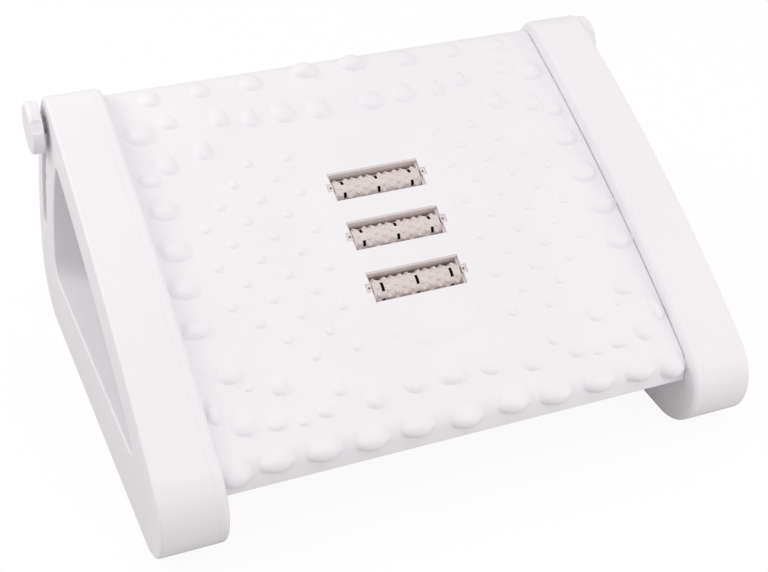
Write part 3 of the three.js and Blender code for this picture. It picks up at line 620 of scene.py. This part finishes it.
white_tones = ((0.905, 0.88, 0.9), (0.885, 0.858, 0.88))
white = moulded("white_moulding", *white_tones, 0.46, 1500, 0.00006)
tread_white = moulded("tread_moulding", *white_tones, 0.5, 1100, 0.0001)
beige = moulded("beige_moulding", (0.77, 0.69, 0.67), (0.73, 0.65, 0.63), 0.5, 1800, 0.00005)
# Painted shade: a near-black colour for the roller slit floors, standing in for the dark hollow seen
# through the slits
painted_slit_shade = moulded("slit_painted_shade", (0.02, 0.016, 0.015), (0.012, 0.01, 0.01), 0.8, 1500, 0.00004)
bush_plastic = moulded("bush_moulding", (0.56, 0.53, 0.51), (0.52, 0.49, 0.47), 0.4, 1500, 0.00004)
rubber = moulded("pad_rubber", (0.05, 0.046, 0.045), (0.035, 0.032, 0.032), 0.8, 900, 0.00015)
steel = metal("zinc_steel", (0.58, 0.59, 0.6), (0.5, 0.51, 0.53), 0.34, (0.08, 1, 1), 0.00003)
brass = metal("turned_brass", (0.66, 0.46, 0.2), (0.58, 0.39, 0.16), 0.36, (1, 0.3, 1), 0.00003)


# Side frames and inner covers
def screw_places():
    apex_turn = turn_of(top_centre, frame_outline["apex"])
    front_turn = turn_of(top_centre, window_outline["front"])
    first, last = window_outline["front"][0], window_outline["heel"][0]
    top = [
        polar(top_centre, top_radius - top_band_width / 2, apex_turn + (front_turn - apex_turn) * share)
        for share in top_screw_shares]
    sill = [
        np.array([first + (last - first) * share, sill_height / 2])
        for share in sill_screw_shares]
    return top + sill


def hollow_tracks(face, seam, wall, edge_radius):
    """The outline, window and slot of a hollow moulding between its outer face and its open seam."""
    way = 1 if face > seam else -1

    def track(outline, sign, thickness, radius, steps):
        inner = outline(sign * thickness)
        curve = [
            (outline(sign * radius * inset), face - way * radius * (1 - along))
            for along, inset in rounded(steps)]
        return [
            (inner, face - way * wall), (inner, seam), (outline(sign * seam_edge_radius), seam),
            (outline(0), seam + way * seam_edge_radius), *curve]

    return [
        track(lambda inset: three_cornered(frame_outline, inset), 1, wall, edge_radius, 6),
        track(lambda inset: three_cornered(window_outline, inset), -1, wall, window_edge_radius, 4),
        track(slot_outline, -1, slot_wall, slot_edge_radius, 4),
    ]


def side_frame(side, name):
    body = Shape().tracks(
        hollow_tracks(frame_outer, cover_outer + seam_gap, frame_wall, frame_edge_radius))
    body.mapped(sideways(side, True))
    body.piece(f"{name}_side_frame", "moulding", [white], "frames", "white_plastic")


def inner_cover(side, name):
    inside = frame_inner + cover_wall

    def seat(centre):
        floor = frame_inner + screw_seat_depth
        bore, wall = ring(centre, screw_bore_radius), ring(centre, screw_seat_radius)
        return [
            (bore, inside), (bore, floor), (wall, floor), (wall, frame_inner + bore_bevel),
            (ring(centre, screw_seat_radius + bore_bevel), frame_inner)]

    reach = axle_radius + fit_gap
    hole = [
        (ring(pivot, reach), inside), (ring(pivot, reach), frame_inner + bore_bevel),
        (ring(pivot, reach + bore_bevel), frame_inner)]
    body = Shape().tracks([
        *hollow_tracks(frame_inner, cover_outer, cover_wall, cover_edge_radius),
        hole, *[seat(place) for place in screw_places()]])
    body.mapped(sideways(side))
    body.piece(f"{name}_inner_cover", "moulding", [white], "frames", "white_plastic")


# Screws, bars, tubes and nuts along a height axis
def cross_screw(head, thickness, shank, length):
    """A screw head with a cross recess, from its face, and its shank."""
    arm, half = head * 0.62, head * 0.17
    crown, rim = head * 0.86, thickness * 0.4
    recess = thickness * 0.8
    cross = np.array([
        [arm, -half], [arm, half], [half, half], [half, arm], [-half, arm], [-half, half],
        [-arm, half], [-arm, -half], [-half, -half], [-half, -arm], [half, -arm], [half, -half]])
    outer = [
        (ring(origin, radius, 24), height) for radius, height in (
            (shank, length), (shank, thickness), (head, thickness), (head, rim), (crown, 0))]
    return Shape().tracks([outer], [[(cross * 0.7, recess), (cross, 0)]])


def bar(radius, reach, bevel, steps=64):
    """A round bar with bevelled ends, about its middle."""
    return Shape().turned([
        (radius - bevel, -reach), (radius, bevel - reach),
        (radius, reach - bevel), (radius - bevel, reach)], steps)


def tube(radius, bore, length, edge=0.4, steps=48):
    """An open tube."""
    return Shape().turned([
        (bore, edge), (bore + edge, 0), (radius - edge, 0), (radius, edge),
        (radius, length - edge), (radius - edge, length), (bore + edge, length), (bore, length - edge)],
        steps, True)


def hexagon(radius):
    return ring(origin, radius, 6)


def nut(thickness, bevel, bore):
    """A six-sided nut with bevelled corners and a bevelled bore."""
    small, full = hexagon(nut_radius - nut_bevel), hexagon(nut_radius)
    mouth, wall = ring(origin, bore + bevel, 24), ring(origin, bore, 24)
    return Shape().tracks([
        [(small, 0), (full, bevel), (full, thickness - bevel), (small, thickness)],
        [(mouth, 0), (wall, nut_bevel), (wall, thickness - nut_bevel), (mouth, thickness)]])


def foot_pad():
    """A rubber pad, from its hollow sole out to its rim and over its top."""
    sole, hollow = -pad_stand_off, 0.1 - pad_stand_off
    return Shape().turned([(share * pad_radius, height) for share, height in (
        (0.01, hollow), (0.62, hollow), (0.66, sole), (0.92, sole), (0.96, 0.75 * sole), (0.98, 0),
        (1, pad_sunk), (0.01, pad_sunk))])


for side, name in ((1, "right"), (-1, "left")):
    side_frame(side, name)
    inner_cover(side, name)
    for i, place in enumerate(screw_places()):
        screw = cross_screw(
            cover_screw_head_radius, cover_screw_head_height, cover_screw_shank_radius,
            cover_screw_length)
        screw.mapped(about(place, frame_inner + fit_gap, side))
        screw.piece(f"{name}_cover_screw_{i + 1}", "steel", [steel], "frames", "plated_steel")
    washer = tube(washer_radius, axle_radius + fit_gap, washer_thickness)
    washer.mapped(about(pivot, cover_outer + fit_gap, side))
    washer.piece(f"{name}_axle_washer", "steel", [steel], "frames", "plated_steel")
    pad_x = side * (shell_inner + frame_outer) / 2
    for i, pad_y in enumerate((pad_setback, frame_outline["heel"][0] - pad_setback)):
        pad = foot_pad()
        pad.mapped(lambda p, x=pad_x, y=pad_y: placed(x + p[:, 0], y + p[:, 1], p[:, 2]))
        pad.piece(f"{name}_foot_pad_{i + 1}", "rubber", [rubber], "frames", "grey_rubber")

axle_end = frame_outer - lean_share * pivot[1] - frame_wall - 2 * fit_gap
axle = bar(axle_radius, axle_end, axle_bevel).mapped(about(pivot, 0))
axle.piece("front_axle_rod", "steel", [steel], "frames", "plated_steel")


# Pebbles and nubs, as (side share, front share, back share, rise share) about a crest
dome_rows = [
    (1.1, 1.05, 1.5, -0.08), (1.06, 1.03, 1.4, 0.0), (1.01, 1.01, 1.27, 0.03),
    (0.95, 0.985, 1.12, 0.09), (0.88, 0.95, 0.95, 0.2), (0.8, 0.9, 0.8, 0.35),
    (0.72, 0.83, 0.66, 0.52), (0.62, 0.74, 0.53, 0.68), (0.51, 0.62, 0.41, 0.82),
    (0.38, 0.48, 0.3, 0.92), (0.24, 0.31, 0.19, 0.98), (0.1, 0.12, 0.08, 1.0)]


def dome(centre, across, along, height, steps, skew=0.0):
    """A rise from the tread with a steep front and a gentle back, its crest ahead of the middle."""
    turns = np.linspace(0, full_turn, steps, endpoint=False)
    small_lobes = small_lobe_share * np.cos(3 * turns + small_lobe_phase * skew)
    lobes = 1 + skew * np.cos(turns - lobe_turn) + skew * small_lobes
    x, run = across * lobes * np.cos(turns), along * lobes * np.sin(turns)
    crest = centre - np.array([0, crest_share * along])
    track = []
    for side, front, back, rise in dome_rows:
        reach = np.where(run < 0, front * (1 - crest_share), back * (1 + crest_share))
        track.append((crest + np.column_stack([side * x, reach * run]), rise * height))
    return Shape().tracks([track])


# Each pebble's place as shares of the plate's half width and the tread's length, then its size as
# shares of the largest pebble's length and width; each is mirrored left to right
pebble_shares = [
    (0, -0.038, 1, 0.74), (0.208, -0.03, 1.02, 0.72), (0.398, -0.034, 1.04, 0.74),
    (0.593, -0.031, 1.04, 0.72), (0.786, -0.03, 1.02, 0.7), (0.945, -0.042, 0.88, 0.76),
    (0, 0.071, 0.99, 0.69), (0.165, 0.072, 0.73, 0.68), (0.34, 0.058, 0.71, 0.68),
    (0.465, 0.103, 0.42, 0.53), (0.545, 0.06, 0.58, 0.55), (0.639, 0.047, 0.42, 0.36),
    (0.74, 0.056, 0.66, 0.5), (0.868, 0.07, 0.68, 0.8), (0.69, 0.141, 0.58, 0.67),
    (0.808, 0.155, 0.27, 0.3), (0.86, 0.194, 0.8, 0.68), (0.965, 0.116, 0.45, 0.92),
    (0.93, 0.322, 0.97, 0.78), (0.93, 0.43, 0.97, 0.89), (0.915, 0.535, 0.98, 1),
    (0.905, 0.648, 0.9, 0.88), (0.922, 0.739, 0.72, 0.64), (0.835, 0.775, 0.67, 0.92),
    (0.67, 0.803, 0.62, 0.93), (0.9, 0.88, 0.92, 1.04), (0.771, 0.903, 0.68, 0.66),
    (0.553, 0.892, 0.58, 0.86), (0.428, 0.875, 0.55, 0.9), (0.278, 0.876, 0.79, 1),
    (0.12, 0.87, 0.8, 0.98), (0.112, 1.004, 0.8, 0.9), (0.362, 0.988, 0.75, 0.8),
    (0.59, 0.989, 0.66, 0.72), (0.81, 0.985, 0.69, 0.71),
]


def pebbles():
    body = Shape()
    for number, (x_share, run_share, length_share, width_share) in enumerate(pebble_shares):
        across, along = pebble_length * length_share, pebble_width * width_share
        height = pebble_height * math.sqrt(length_share * width_share)
        if not 0 <= run_share <= 1:
            height *= edge_pebble_growth
        for side in (1, -1) if x_share else (1,):
            centre = np.array([side * x_share * plate_half, run_share * tread_length])
            skew = pebble_skew * math.sin(pebble_skew_step * number + side)
            body.add(dome(centre, across, along, height, 36, skew))
    return body


def nubs():
    """Nubs in staggered rows on both sides of the panel, without the outer corners."""
    body = Shape()
    middle = (nub_rows - 1) / 2
    for row in range(nub_rows):
        for column in range(row % 2, nub_columns, 2):
            if column >= nub_columns - nub_corner and abs(row - middle) > middle - nub_corner:
                continue
            run = nub_middle_run + (row - middle) * nub_row_pitch
            for side in (-1, 1):
                x = side * (nub_first_column + column * nub_column_pitch)
                body.add(dome(np.array([x, run]), nub_radius, nub_radius, nub_height, 20))
    return body


# Foot plate
roller_runs = [middle_roller_run + (i - 1) * roller_pitch for i in range(3)]


def notched(run, inset):
    """The outline of a roller slot with its end notches, grown by an inset below zero."""
    x1, x2 = slot_length / 2 - inset, slot_length / 2 + notch_depth - inset
    y1, y2 = notch_width / 2 - inset, slot_width / 2 - inset
    right = [[x1, -y2], [x1, -y1], [x2, -y1], [x2, y1], [x1, y1], [x1, y2]]
    left = [[-x, -y] for x, y in right]
    return np.array(right + left) + (0, run)


def plate_skin():
    """The skin, with its lip, slots and curled bead."""
    def rim(inset):
        return rectangle((-plate_half, lip_end), (plate_half, curl_run), inset)

    outline = [(rim(plate_under_bevel), -skin), (rim(0), plate_under_bevel - skin)]
    outline += [
        (rim(plate_edge_radius * inset), plate_edge_radius * (along - 1))
        for along, inset in rounded(4)]
    holes = [[(notched(run, 0), -skin), (notched(run, 0), 0)] for run in roller_runs]
    return Shape().tracks([outline, *holes])


def panel():
    """The raised panel about the rollers, with round ends and a soft ramp."""
    def outline(inset):
        reach = panel_half_width - inset
        return np.vstack([
            arc((0, roller_runs[0]), reach, half_turn, full_turn, 48, True),
            arc((0, roller_runs[-1]), reach, 0, half_turn, 48, True)])

    rim = [(outline(-panel_ramp), -panel_sunk)]
    for share in np.linspace(0, 1, 9):
        rise = (1 - math.cos(half_turn * share)) / 2
        rim.append((outline(panel_ramp * (2 * share - 1)), panel_height * rise))
    holes = []
    for run in roller_runs:
        slot = notched(run, -overlap_step)
        holes.append([
            (slot, -panel_sunk), (slot, panel_height - panel_slot_edge),
            (notched(run, -panel_slot_edge), panel_height)])
    return Shape().tracks([rim, *holes])


def plate_ribs():
    """The side walls of the plate, and its ribs along and across."""
    body = Shape()
    depth, top = -rib_depth, -skin / 2
    start = lip_end + skin

    def long_rib(x, thickness, first, last):
        body.block((x, first, depth), (x + thickness, last, top), rib_edge)

    reach = plate_half - side_wall - middle_bay_half
    pitch = reach / side_bay_count
    for side in (-1, 1):
        for i in range(side_bay_count):
            x = middle_bay_half + i * pitch
            long_rib(side * x, side * rib_thickness, start + rib_lip_gap, tread_length + rib_past_tread)
    for side in (-1, 1):
        body.block(
            (side * (plate_half - 2 * overlap_step), start - side_wall_lead, depth),
            (side * (plate_half - side_wall), side_wall_run, top), rib_edge)
    front_rib = middle_roller_run - 1.5 * roller_pitch
    back_rib = middle_roller_run + 1.5 * roller_pitch
    inner = plate_half - side_wall / 2
    runs = [front_rib + i * roller_pitch for i in range(-1, 6)] + [tread_length - bead_rib_setback]
    for run in runs:
        if run < tread_length:
            body.block(
                (-inner, run - rib_thickness / 2, depth + overlap_step),
                (inner, run + rib_thickness / 2, top), rib_edge)
    long_rib(-rib_thickness / 2, rib_thickness, start + rib_lip_gap, front_rib)
    long_rib(-rib_thickness / 2, rib_thickness, back_rib, tread_length)
    return body


# Bosses and screws that hold the cradles
low_face = -skin - boss_height
screw_x = cradle_flange_length / 2 - cradle_screw_inset
screw_run = cradle_flange_width / 2 - cradle_screw_inset
cradle_screws = [
    (side * screw_x, run + side * screw_run) for run in roller_runs for side in (-1, 1)]


def above(x, run, start):
    """From a height axis to the tread at a place of it, before the tread's own curve."""
    return lambda p: np.column_stack([x + p[:, 0], run + p[:, 1], start + p[:, 2]])


# Hinge ears of the plate and their bushes
bush_reach = axle_radius + bush_wall + 2 * fit_gap


def ear_outline(inset):
    reach = ear_radius - inset
    low = arc(pivot, reach, half_turn, full_turn, 32, True)
    front_top = tread_height(pivot[0] - reach) - skin / 2
    back_top = tread_height(pivot[0] + reach) - skin / 2
    return np.vstack([low, [[pivot[0] + reach, back_top], [pivot[0] - reach, front_top]]])


def ear(start):
    near, far = start + overlap_step, start + ear_thickness - overlap_step
    small, full = ear_outline(ear_edge), ear_outline(0)
    bore = ring(pivot, bush_reach)
    return Shape().tracks([
        [(small, near), (full, near + ear_edge), (full, far - ear_edge), (small, far)],
        [(bore, near), (bore, far)]]).mapped(sideways(1))


def axle_bush():
    """A bush with a flange, its body below the height of its seat."""
    bore, wall = axle_radius + fit_gap, bush_reach - fit_gap
    end = fit_gap - ear_thickness
    return Shape().turned([
        (bore, bush_flange_thickness), (bore, end), (wall, end), (wall, 0),
        (bush_flange_radius - bore_bevel, 0), (bush_flange_radius, bore_bevel),
        (bush_flange_radius, bush_flange_thickness - bore_bevel),
        (bush_flange_radius - bore_bevel, bush_flange_thickness)], 48, True)


plate = Shape()
plate.add(plate_skin()).add(panel()).add(plate_ribs())
plate.striped(every_stripe)
plate.add(pebbles()).add(nubs())
for x, run in cradle_screws:
    boss = tube(boss_radius, boss_bore_radius, boss_height + boss_sunk, bore_bevel, 24)
    plate.add(boss.mapped(above(x, run, low_face)))
plate.mapped(on_tread)

ear_starts = [
    plate_half - ear_thickness, middle_bay_half, -middle_bay_half - ear_thickness, -plate_half]
for i, start in enumerate(ear_starts):
    plate.add(ear(start))
    inward = -1 if start > 0 else 1
    face = start if start > 0 else start + ear_thickness
    bush = axle_bush().mapped(about(pivot, inward * face + fit_gap, inward))
    bush.piece(f"axle_bush_{i + 1}", "plastic", [bush_plastic], "tilting_plate", "bush_plastic")
plate.piece("foot_plate", "moulding", [tread_white], "tilting_plate", "white_plastic")

# Rear rod
rod_end = knob_stand_off + knob_thickness - knob_floor - fit_gap
rod = bar(rod_radius, rod_end, rod_bevel).mapped(about(rod_centre, 0))
rod.piece("rear_rod", "steel", [steel], "tilting_plate", "plated_steel")


# Knobs with their nuts, and the bushes in the slots
def turn_offset(turns, middle):
    """How far turns are from a middle turn, between minus and plus half a turn."""
    return (turns - middle + half_turn) % full_turn - half_turn


def knob(side, name):
    """A disc with a rounded rim, three finger dimples in the rim and a seat for the nut."""
    turns = np.linspace(0, full_turn, 240, endpoint=False)
    middle = knob_thickness * knob_dimple_level
    half_rise = knob_thickness * knob_dimple_rise

    def rim(inset, depth):
        reach = np.full(turns.shape, knob_radius - inset)
        for i in range(3):
            offset = turn_offset(turns, knob_dimple_turn + full_turn * i / 3)
            away = np.abs(offset * knob_radius / knob_dimple_reach) ** 3
            away = away + abs((depth - middle) / half_rise) ** 3
            reach = reach - knob_dimple_depth * np.clip(1 - away, 0, 1) ** 0.7
        return np.column_stack([reach * np.cos(turns), reach * np.sin(turns)])

    edge, back_edge = knob_edge_radius, knob_back_edge_radius
    back_start = knob_thickness - back_edge
    face = [(rim(knob_radius * share, 0), 0) for share in (0.55, 0.3)]
    for along, inset in rounded(8)[::-1]:
        depth = edge - edge * along
        face.append((rim(edge * inset, depth), depth))
    depths = np.arange(edge + knob_wall_step, back_start - knob_wall_step / 2, knob_wall_step)
    wall = [(rim(0, depth), depth) for depth in depths]
    back = []
    for along, inset in rounded(4):
        depth = back_start + back_edge * along
        back.append((rim(back_edge * inset, depth), depth))
    seat = [
        (hexagon(nut_radius + fit_gap), knob_floor),
        (hexagon(nut_radius + fit_gap), knob_thickness - nut_bevel),
        (hexagon(nut_radius + knob_seat_flare), knob_thickness)]
    body = Shape().tracks([face + wall + back], [seat])
    body.mapped(about(rod_centre, -knob_stand_off - knob_thickness, -side))
    body.piece(f"{name}_knob", "moulding", [white], f"{name}_knob", "white_plastic")


for side, name in ((1, "right"), (-1, "left")):
    rod_bore = rod_radius + fit_gap
    bush = tube(rod_bore + bush_wall, rod_bore, knob_stand_off - plate_half - 2 * fit_gap)
    bush.mapped(about(rod_centre, plate_half + fit_gap, side))
    bush.piece(f"{name}_slot_bush", "plastic", [bush_plastic], "tilting_plate", "bush_plastic")
    knob(side, name)
    knob_nut = nut(knob_nut_thickness, nut_bevel, rod_bore)
    knob_nut.mapped(about(rod_centre, knob_stand_off + fit_gap, side))
    knob_nut.piece(f"{name}_knob_nut", "brass", [brass], f"{name}_knob", "brass")
    axle_nut = nut(axle_nut_thickness, axle_nut_bevel, axle_radius + fit_gap)
    axle_nut.mapped(about(pivot, cover_outer + 2 * fit_gap + washer_thickness, side))
    axle_nut.piece(f"{name}_axle_nut", "steel", [steel], "frames", "plated_steel")


# Roller cradles
def end_tab(run, side):
    """A tab that closes a cradle's end over the shaft, with a blind hole in its top."""
    start, end = slot_length / 2 - tab_lap, slot_length / 2 + notch_depth - cradle_fit
    half = notch_width / 2 - cradle_fit
    tab = np.array([[start, -half], [end, -half], [end, half], [start, half]]) * side
    top = panel_height - tab_drop
    hole = (side * (start + tab_hole_offset), run)
    floor_radius, wall_radius, mouth_radius = tab_hole_radii
    return Shape().tracks(
        [[(tab + (0, run), -tab_depth), (tab + (0, run), top - tab_bevel),
          (tab * tab_bevel_scale + (0, run), top)]],
        [[(ring(hole, floor_radius, 16), tab_hole_floor), (ring(hole, wall_radius, 16), top - tab_bevel),
          (ring(hole, mouth_radius, 16), top)]])


def cradle(run):
    """A trough with a back wall level with the panel, lower other walls, end tabs and a flange."""
    body = Shape()
    x1, y1 = slot_length / 2 - cradle_fit, slot_width / 2 - cradle_fit
    room = roller_half + roller_play
    low_top = panel_height - cradle_low_wall_drop
    one, two, three = overlap_step, 2 * overlap_step, 3 * overlap_step
    body.block(
        (one - x1, run - y1 + one, one - cradle_depth),
        (x1 - one, run + y1 - one, cradle_floor - cradle_depth))
    for side, top in ((-1, low_top), (1, panel_height)):
        body.block(
            (-x1, run + side * y1, -cradle_depth), (x1, run + side * (y1 - cradle_wall), top),
            cradle_edge)
        for across in (-1, 1):
            body.block(
                (side * (x1 - two), run + across * (y1 - two), two - cradle_depth),
                (side * room, run + across * (shaft_radius + fit_gap), low_top - one), cradle_edge)
        body.block(
            (side * (x1 - three), run - y1 + three, three - cradle_depth),
            (side * (room + one), run + y1 - three, -roller_sunk - shaft_radius))
        body.add(end_tab(run, side))
    top_face = low_face - fit_gap
    low = top_face - cradle_flange_thickness
    flange_x, flange_y = cradle_flange_length / 2, cradle_flange_width / 2
    for side in (-1, 1):
        body.block(
            (-flange_x, run + side * flange_y, low),
            (flange_x, run + side * (y1 - cradle_flange_lap), top_face))
        body.block(
            (side * (flange_x - one), run - flange_y + one, low + one),
            (side * (x1 - cradle_flange_lap), run + flange_y - one, top_face - one))
    return body


# Rollers: the turn and half the span of the long slit and the four short slits in each ring
slits = [(0, long_slit_half)] + [
    (first_short_slit + short_slit_pitch * i, short_slit_half) for i in range(4)]
slit_rings = (-slit_offset, 0, slit_offset)
slit_half = slit_width / 2


def roller_places():
    """Places along a roller, closer together at the walls of its slits."""
    places = list(np.arange(-roller_half, roller_half + roller_step / 2, roller_step))
    for centre in slit_rings:
        places = [x for x in places if abs(abs(x - centre) - slit_half) > slit_clearance]
        places += [centre + sign * (slit_half + more) for sign in (-1, 1) for more in (0, slit_ramp)]
    return np.array(sorted(places))


def roller_angles():
    """Turns about a roller, closer together at the ends of its slits."""
    turns = [
        turn for turn in np.linspace(0, full_turn, roller_turn_steps, endpoint=False)
        if all(abs(abs(turn_offset(turn, middle)) - span) > slit_turn_clearance
               for middle, span in slits)]
    turns += [
        (middle + sign * (span + more)) % full_turn
        for middle, span in slits for sign in (-1, 1) for more in (0, slit_turn_ramp)]
    return np.array(sorted(turns))


def stud_rows():
    """The places of the rows of studs, one beyond each outer ring of slits and four between."""
    outer = (end_stud_gap - roller_half, -slit_offset - slit_half, 1)
    inner = (-slit_offset + slit_half, -slit_half, 4)
    rows = []
    for start, end, count in (outer, inner):
        rows += [start + (end - start) / count * (i + 0.5) for i in range(count)]
    return rows + [-x for x in reversed(rows)]


def roller():
    """A core with round studs in staggered rows, and slits whose floors are painted near-black as the
    shade inside the hollow roller.
    """
    core = roller_radius - stud_height
    xs, turns = roller_places(), roller_angles()
    x_grid, turn_grid = np.meshgrid(xs, turns, indexing="ij")
    reach = np.full(x_grid.shape, float(core))
    for number, row in enumerate(stud_rows()):
        for i in range(studs_around):
            turn = full_turn * (i + 0.5 * (number % 2)) / studs_around
            offset = turn_offset(turn_grid, turn)
            distance = np.hypot(x_grid - row, offset * (core + stud_centre_drop))
            rise = stud_height * np.sqrt(np.clip(1 - (distance / stud_radius) ** 2, 0, 1))
            reach = np.maximum(reach, core + rise)
    in_slit = np.zeros(x_grid.shape, bool)
    for centre in slit_rings:
        in_ring = np.abs(x_grid - centre) < slit_half + slit_ramp / 6
        for middle, span in slits:
            in_slit |= in_ring & (np.abs(turn_offset(turn_grid, middle)) < span + slit_turn_ramp / 6)
    reach[in_slit] = core - slit_depth
    near_end = roller_half - np.abs(x_grid)
    reach -= roller_edge * np.clip(1 - near_end / roller_edge, 0, 1) ** 2
    bore = np.full(len(turns), shaft_radius + fit_gap)
    body = Shape()
    rows = [
        [body.mesh.verts.new((r * math.cos(t), r * math.sin(t), x)) for r, t in zip(radii, turns)]
        for x, radii in [(-roller_half, bore), *zip(xs, reach), (roller_half, bore)]]
    for n, (low, high) in enumerate(zip(rows, rows[1:] + rows[:1])):
        for i in range(len(turns)):
            j = (i + 1) % len(turns)
            face = body.mesh.faces.new((low[i], low[j], high[j], high[i]))
            # Slit floor faces take the second material, the painted shade of the hollow
            if 1 <= n < len(xs) and in_slit[n - 1:n + 1, [i, j]].any():
                face.material_index = 1
    return body


def spun(axis, spin):
    """From a height axis to the X axis at a place of the side view, turned about it."""
    return lambda p: placed(
        p[:, 2], axis[0] + p[:, 0] * math.cos(spin) - p[:, 1] * math.sin(spin),
        axis[1] + p[:, 0] * math.sin(spin) + p[:, 1] * math.cos(spin))


shaft_end = slot_length / 2 + notch_depth - 2 * fit_gap
for i, run in enumerate(roller_runs):
    tilt = tread_front - run / tread_radius
    axis = polar(tread_centre, tread_radius - roller_sunk, tilt)
    cradle(run).mapped(on_tread).piece(
        f"roller_cradle_{i + 1}", "moulding", [beige], "tilting_plate", "beige_plastic")
    shaft = bar(shaft_radius, shaft_end, shaft_bevel, 32).mapped(about(axis, 0))
    shaft.piece(f"roller_shaft_{i + 1}", "steel", [steel], "tilting_plate", "plated_steel")
    roller().mapped(spun(axis, tilt + roller_turns[i])).piece(
        f"massage_roller_{i + 1}", "moulding", [beige, painted_slit_shade], f"roller_{i + 1}", "beige_plastic",
        30, False)

screw_length = cradle_screw_head_height + cradle_flange_thickness + boss_height + cradle_screw_hold
screw_start = low_face - cradle_flange_thickness - 2 * fit_gap - cradle_screw_head_height
for i, (x, run) in enumerate(cradle_screws):
    screw = cross_screw(
        cradle_screw_head_radius, cradle_screw_head_height, cradle_screw_shank_radius, screw_length)
    screw.mapped(above(x, run, screw_start)).mapped(on_tread)
    screw.piece(f"cradle_screw_{i + 1}", "steel", [steel], "tilting_plate", "plated_steel")

# Floor and backdrop, white where the camera sees them
floor_half = 6
floor_mesh = bpy.data.meshes.new("floor")
floor_mesh.from_pydata(
    [(x * floor_half, y * floor_half, 0) for x, y in ((-1, -1), (1, -1), (1, 1), (-1, 1))],
    [], [(0, 1, 2, 3)])
floor = added("floor", floor_mesh)
floor_material = bpy.data.materials.new("pale_floor")
floor_material.use_nodes = True
tree = floor_material.node_tree
floor_shader = filled(tree.nodes["Principled BSDF"], {
    "Base Color": (0.6, 0.595, 0.6, 1), "Roughness": 0.9, "Specular IOR Level": 0.1})
glow = node_of(tree, "ShaderNodeEmission", {"Color": (1, 1, 1, 1), "Strength": 1.05})
rays = node_of(tree, "ShaderNodeLightPath")
seen = node_of(tree, "ShaderNodeMath", {1: 0.88}, operation="MULTIPLY")
tree.links.new(rays.outputs["Is Camera Ray"], seen.inputs[0])
mixed(tree, seen, floor_shader, glow, "Material Output")
floor_mesh.materials.append(floor_material)

world = bpy.data.worlds.new("studio")
bpy.context.scene.world = world
world.use_nodes = True
tree = world.node_tree
ambient = filled(tree.nodes["Background"], {"Color": (1, 0.995, 0.998, 1), "Strength": 0.787})
backdrop = node_of(tree, "ShaderNodeBackground", {"Color": (1, 1, 1, 1), "Strength": 1.0})
rays = node_of(tree, "ShaderNodeLightPath")
either = node_of(tree, "ShaderNodeMath", operation="MAXIMUM")
tree.links.new(rays.outputs["Is Camera Ray"], either.inputs[0])
tree.links.new(rays.outputs["Is Transmission Ray"], either.inputs[1])
mixed(tree, either, ambient, backdrop, "World Output")


# Soft lamps, in metres and watts
def lamp(name, place, target, size, power):
    light = bpy.data.lights.new(name, "AREA")
    light.shape = "RECTANGLE"
    light.size, light.size_y = size
    light.energy = power
    made = added(name, light)
    made.location = place
    made.rotation_euler = (Vector(target) - Vector(place)).to_track_quat("-Z", "Y").to_euler()


lamp("key", (0.5, -0.6, 1.9), (0, 0, 0.1), (0.8, 0.8), 3.2)
lamp("left", (-0.9, 0.25, 0.8), (0, 0.05, 0.1), (0.9, 0.6), 3)
lamp("front", (1.0, -0.9, 0.35), (0.1, -0.1, 0.1), (0.6, 0.6), 2.6)


# Camera: turned to the right of straight ahead, looking down, a little rolled
def camera_axes(azimuth, elevation, roll):
    a, e, r = map(math.radians, (azimuth, elevation, roll))
    forward = Vector((math.sin(a) * math.cos(e), math.cos(a) * math.cos(e), -math.sin(e)))
    right = Vector((math.cos(a), -math.sin(a), 0))
    down = forward.cross(right)
    turned_right = right * math.cos(r) - down * math.sin(r)
    turned_down = right * math.sin(r) + down * math.cos(r)
    return turned_right, -turned_down, -forward


camera_data = bpy.data.cameras.new("camera")
camera = added("camera", camera_data)
camera_data.sensor_fit = "HORIZONTAL"
camera_data.sensor_width = sensor_width
camera_data.lens = focal_pixels * sensor_width / image_width
camera_data.clip_end = 50
axes = camera_axes(*camera_turns)
pose = Matrix(axes).transposed().to_4x4()
pose.translation = Vector(camera_place)
camera.matrix_world = pose
bpy.context.scene.camera = camera
bpy.context.scene.view_settings.view_transform = "Standard"
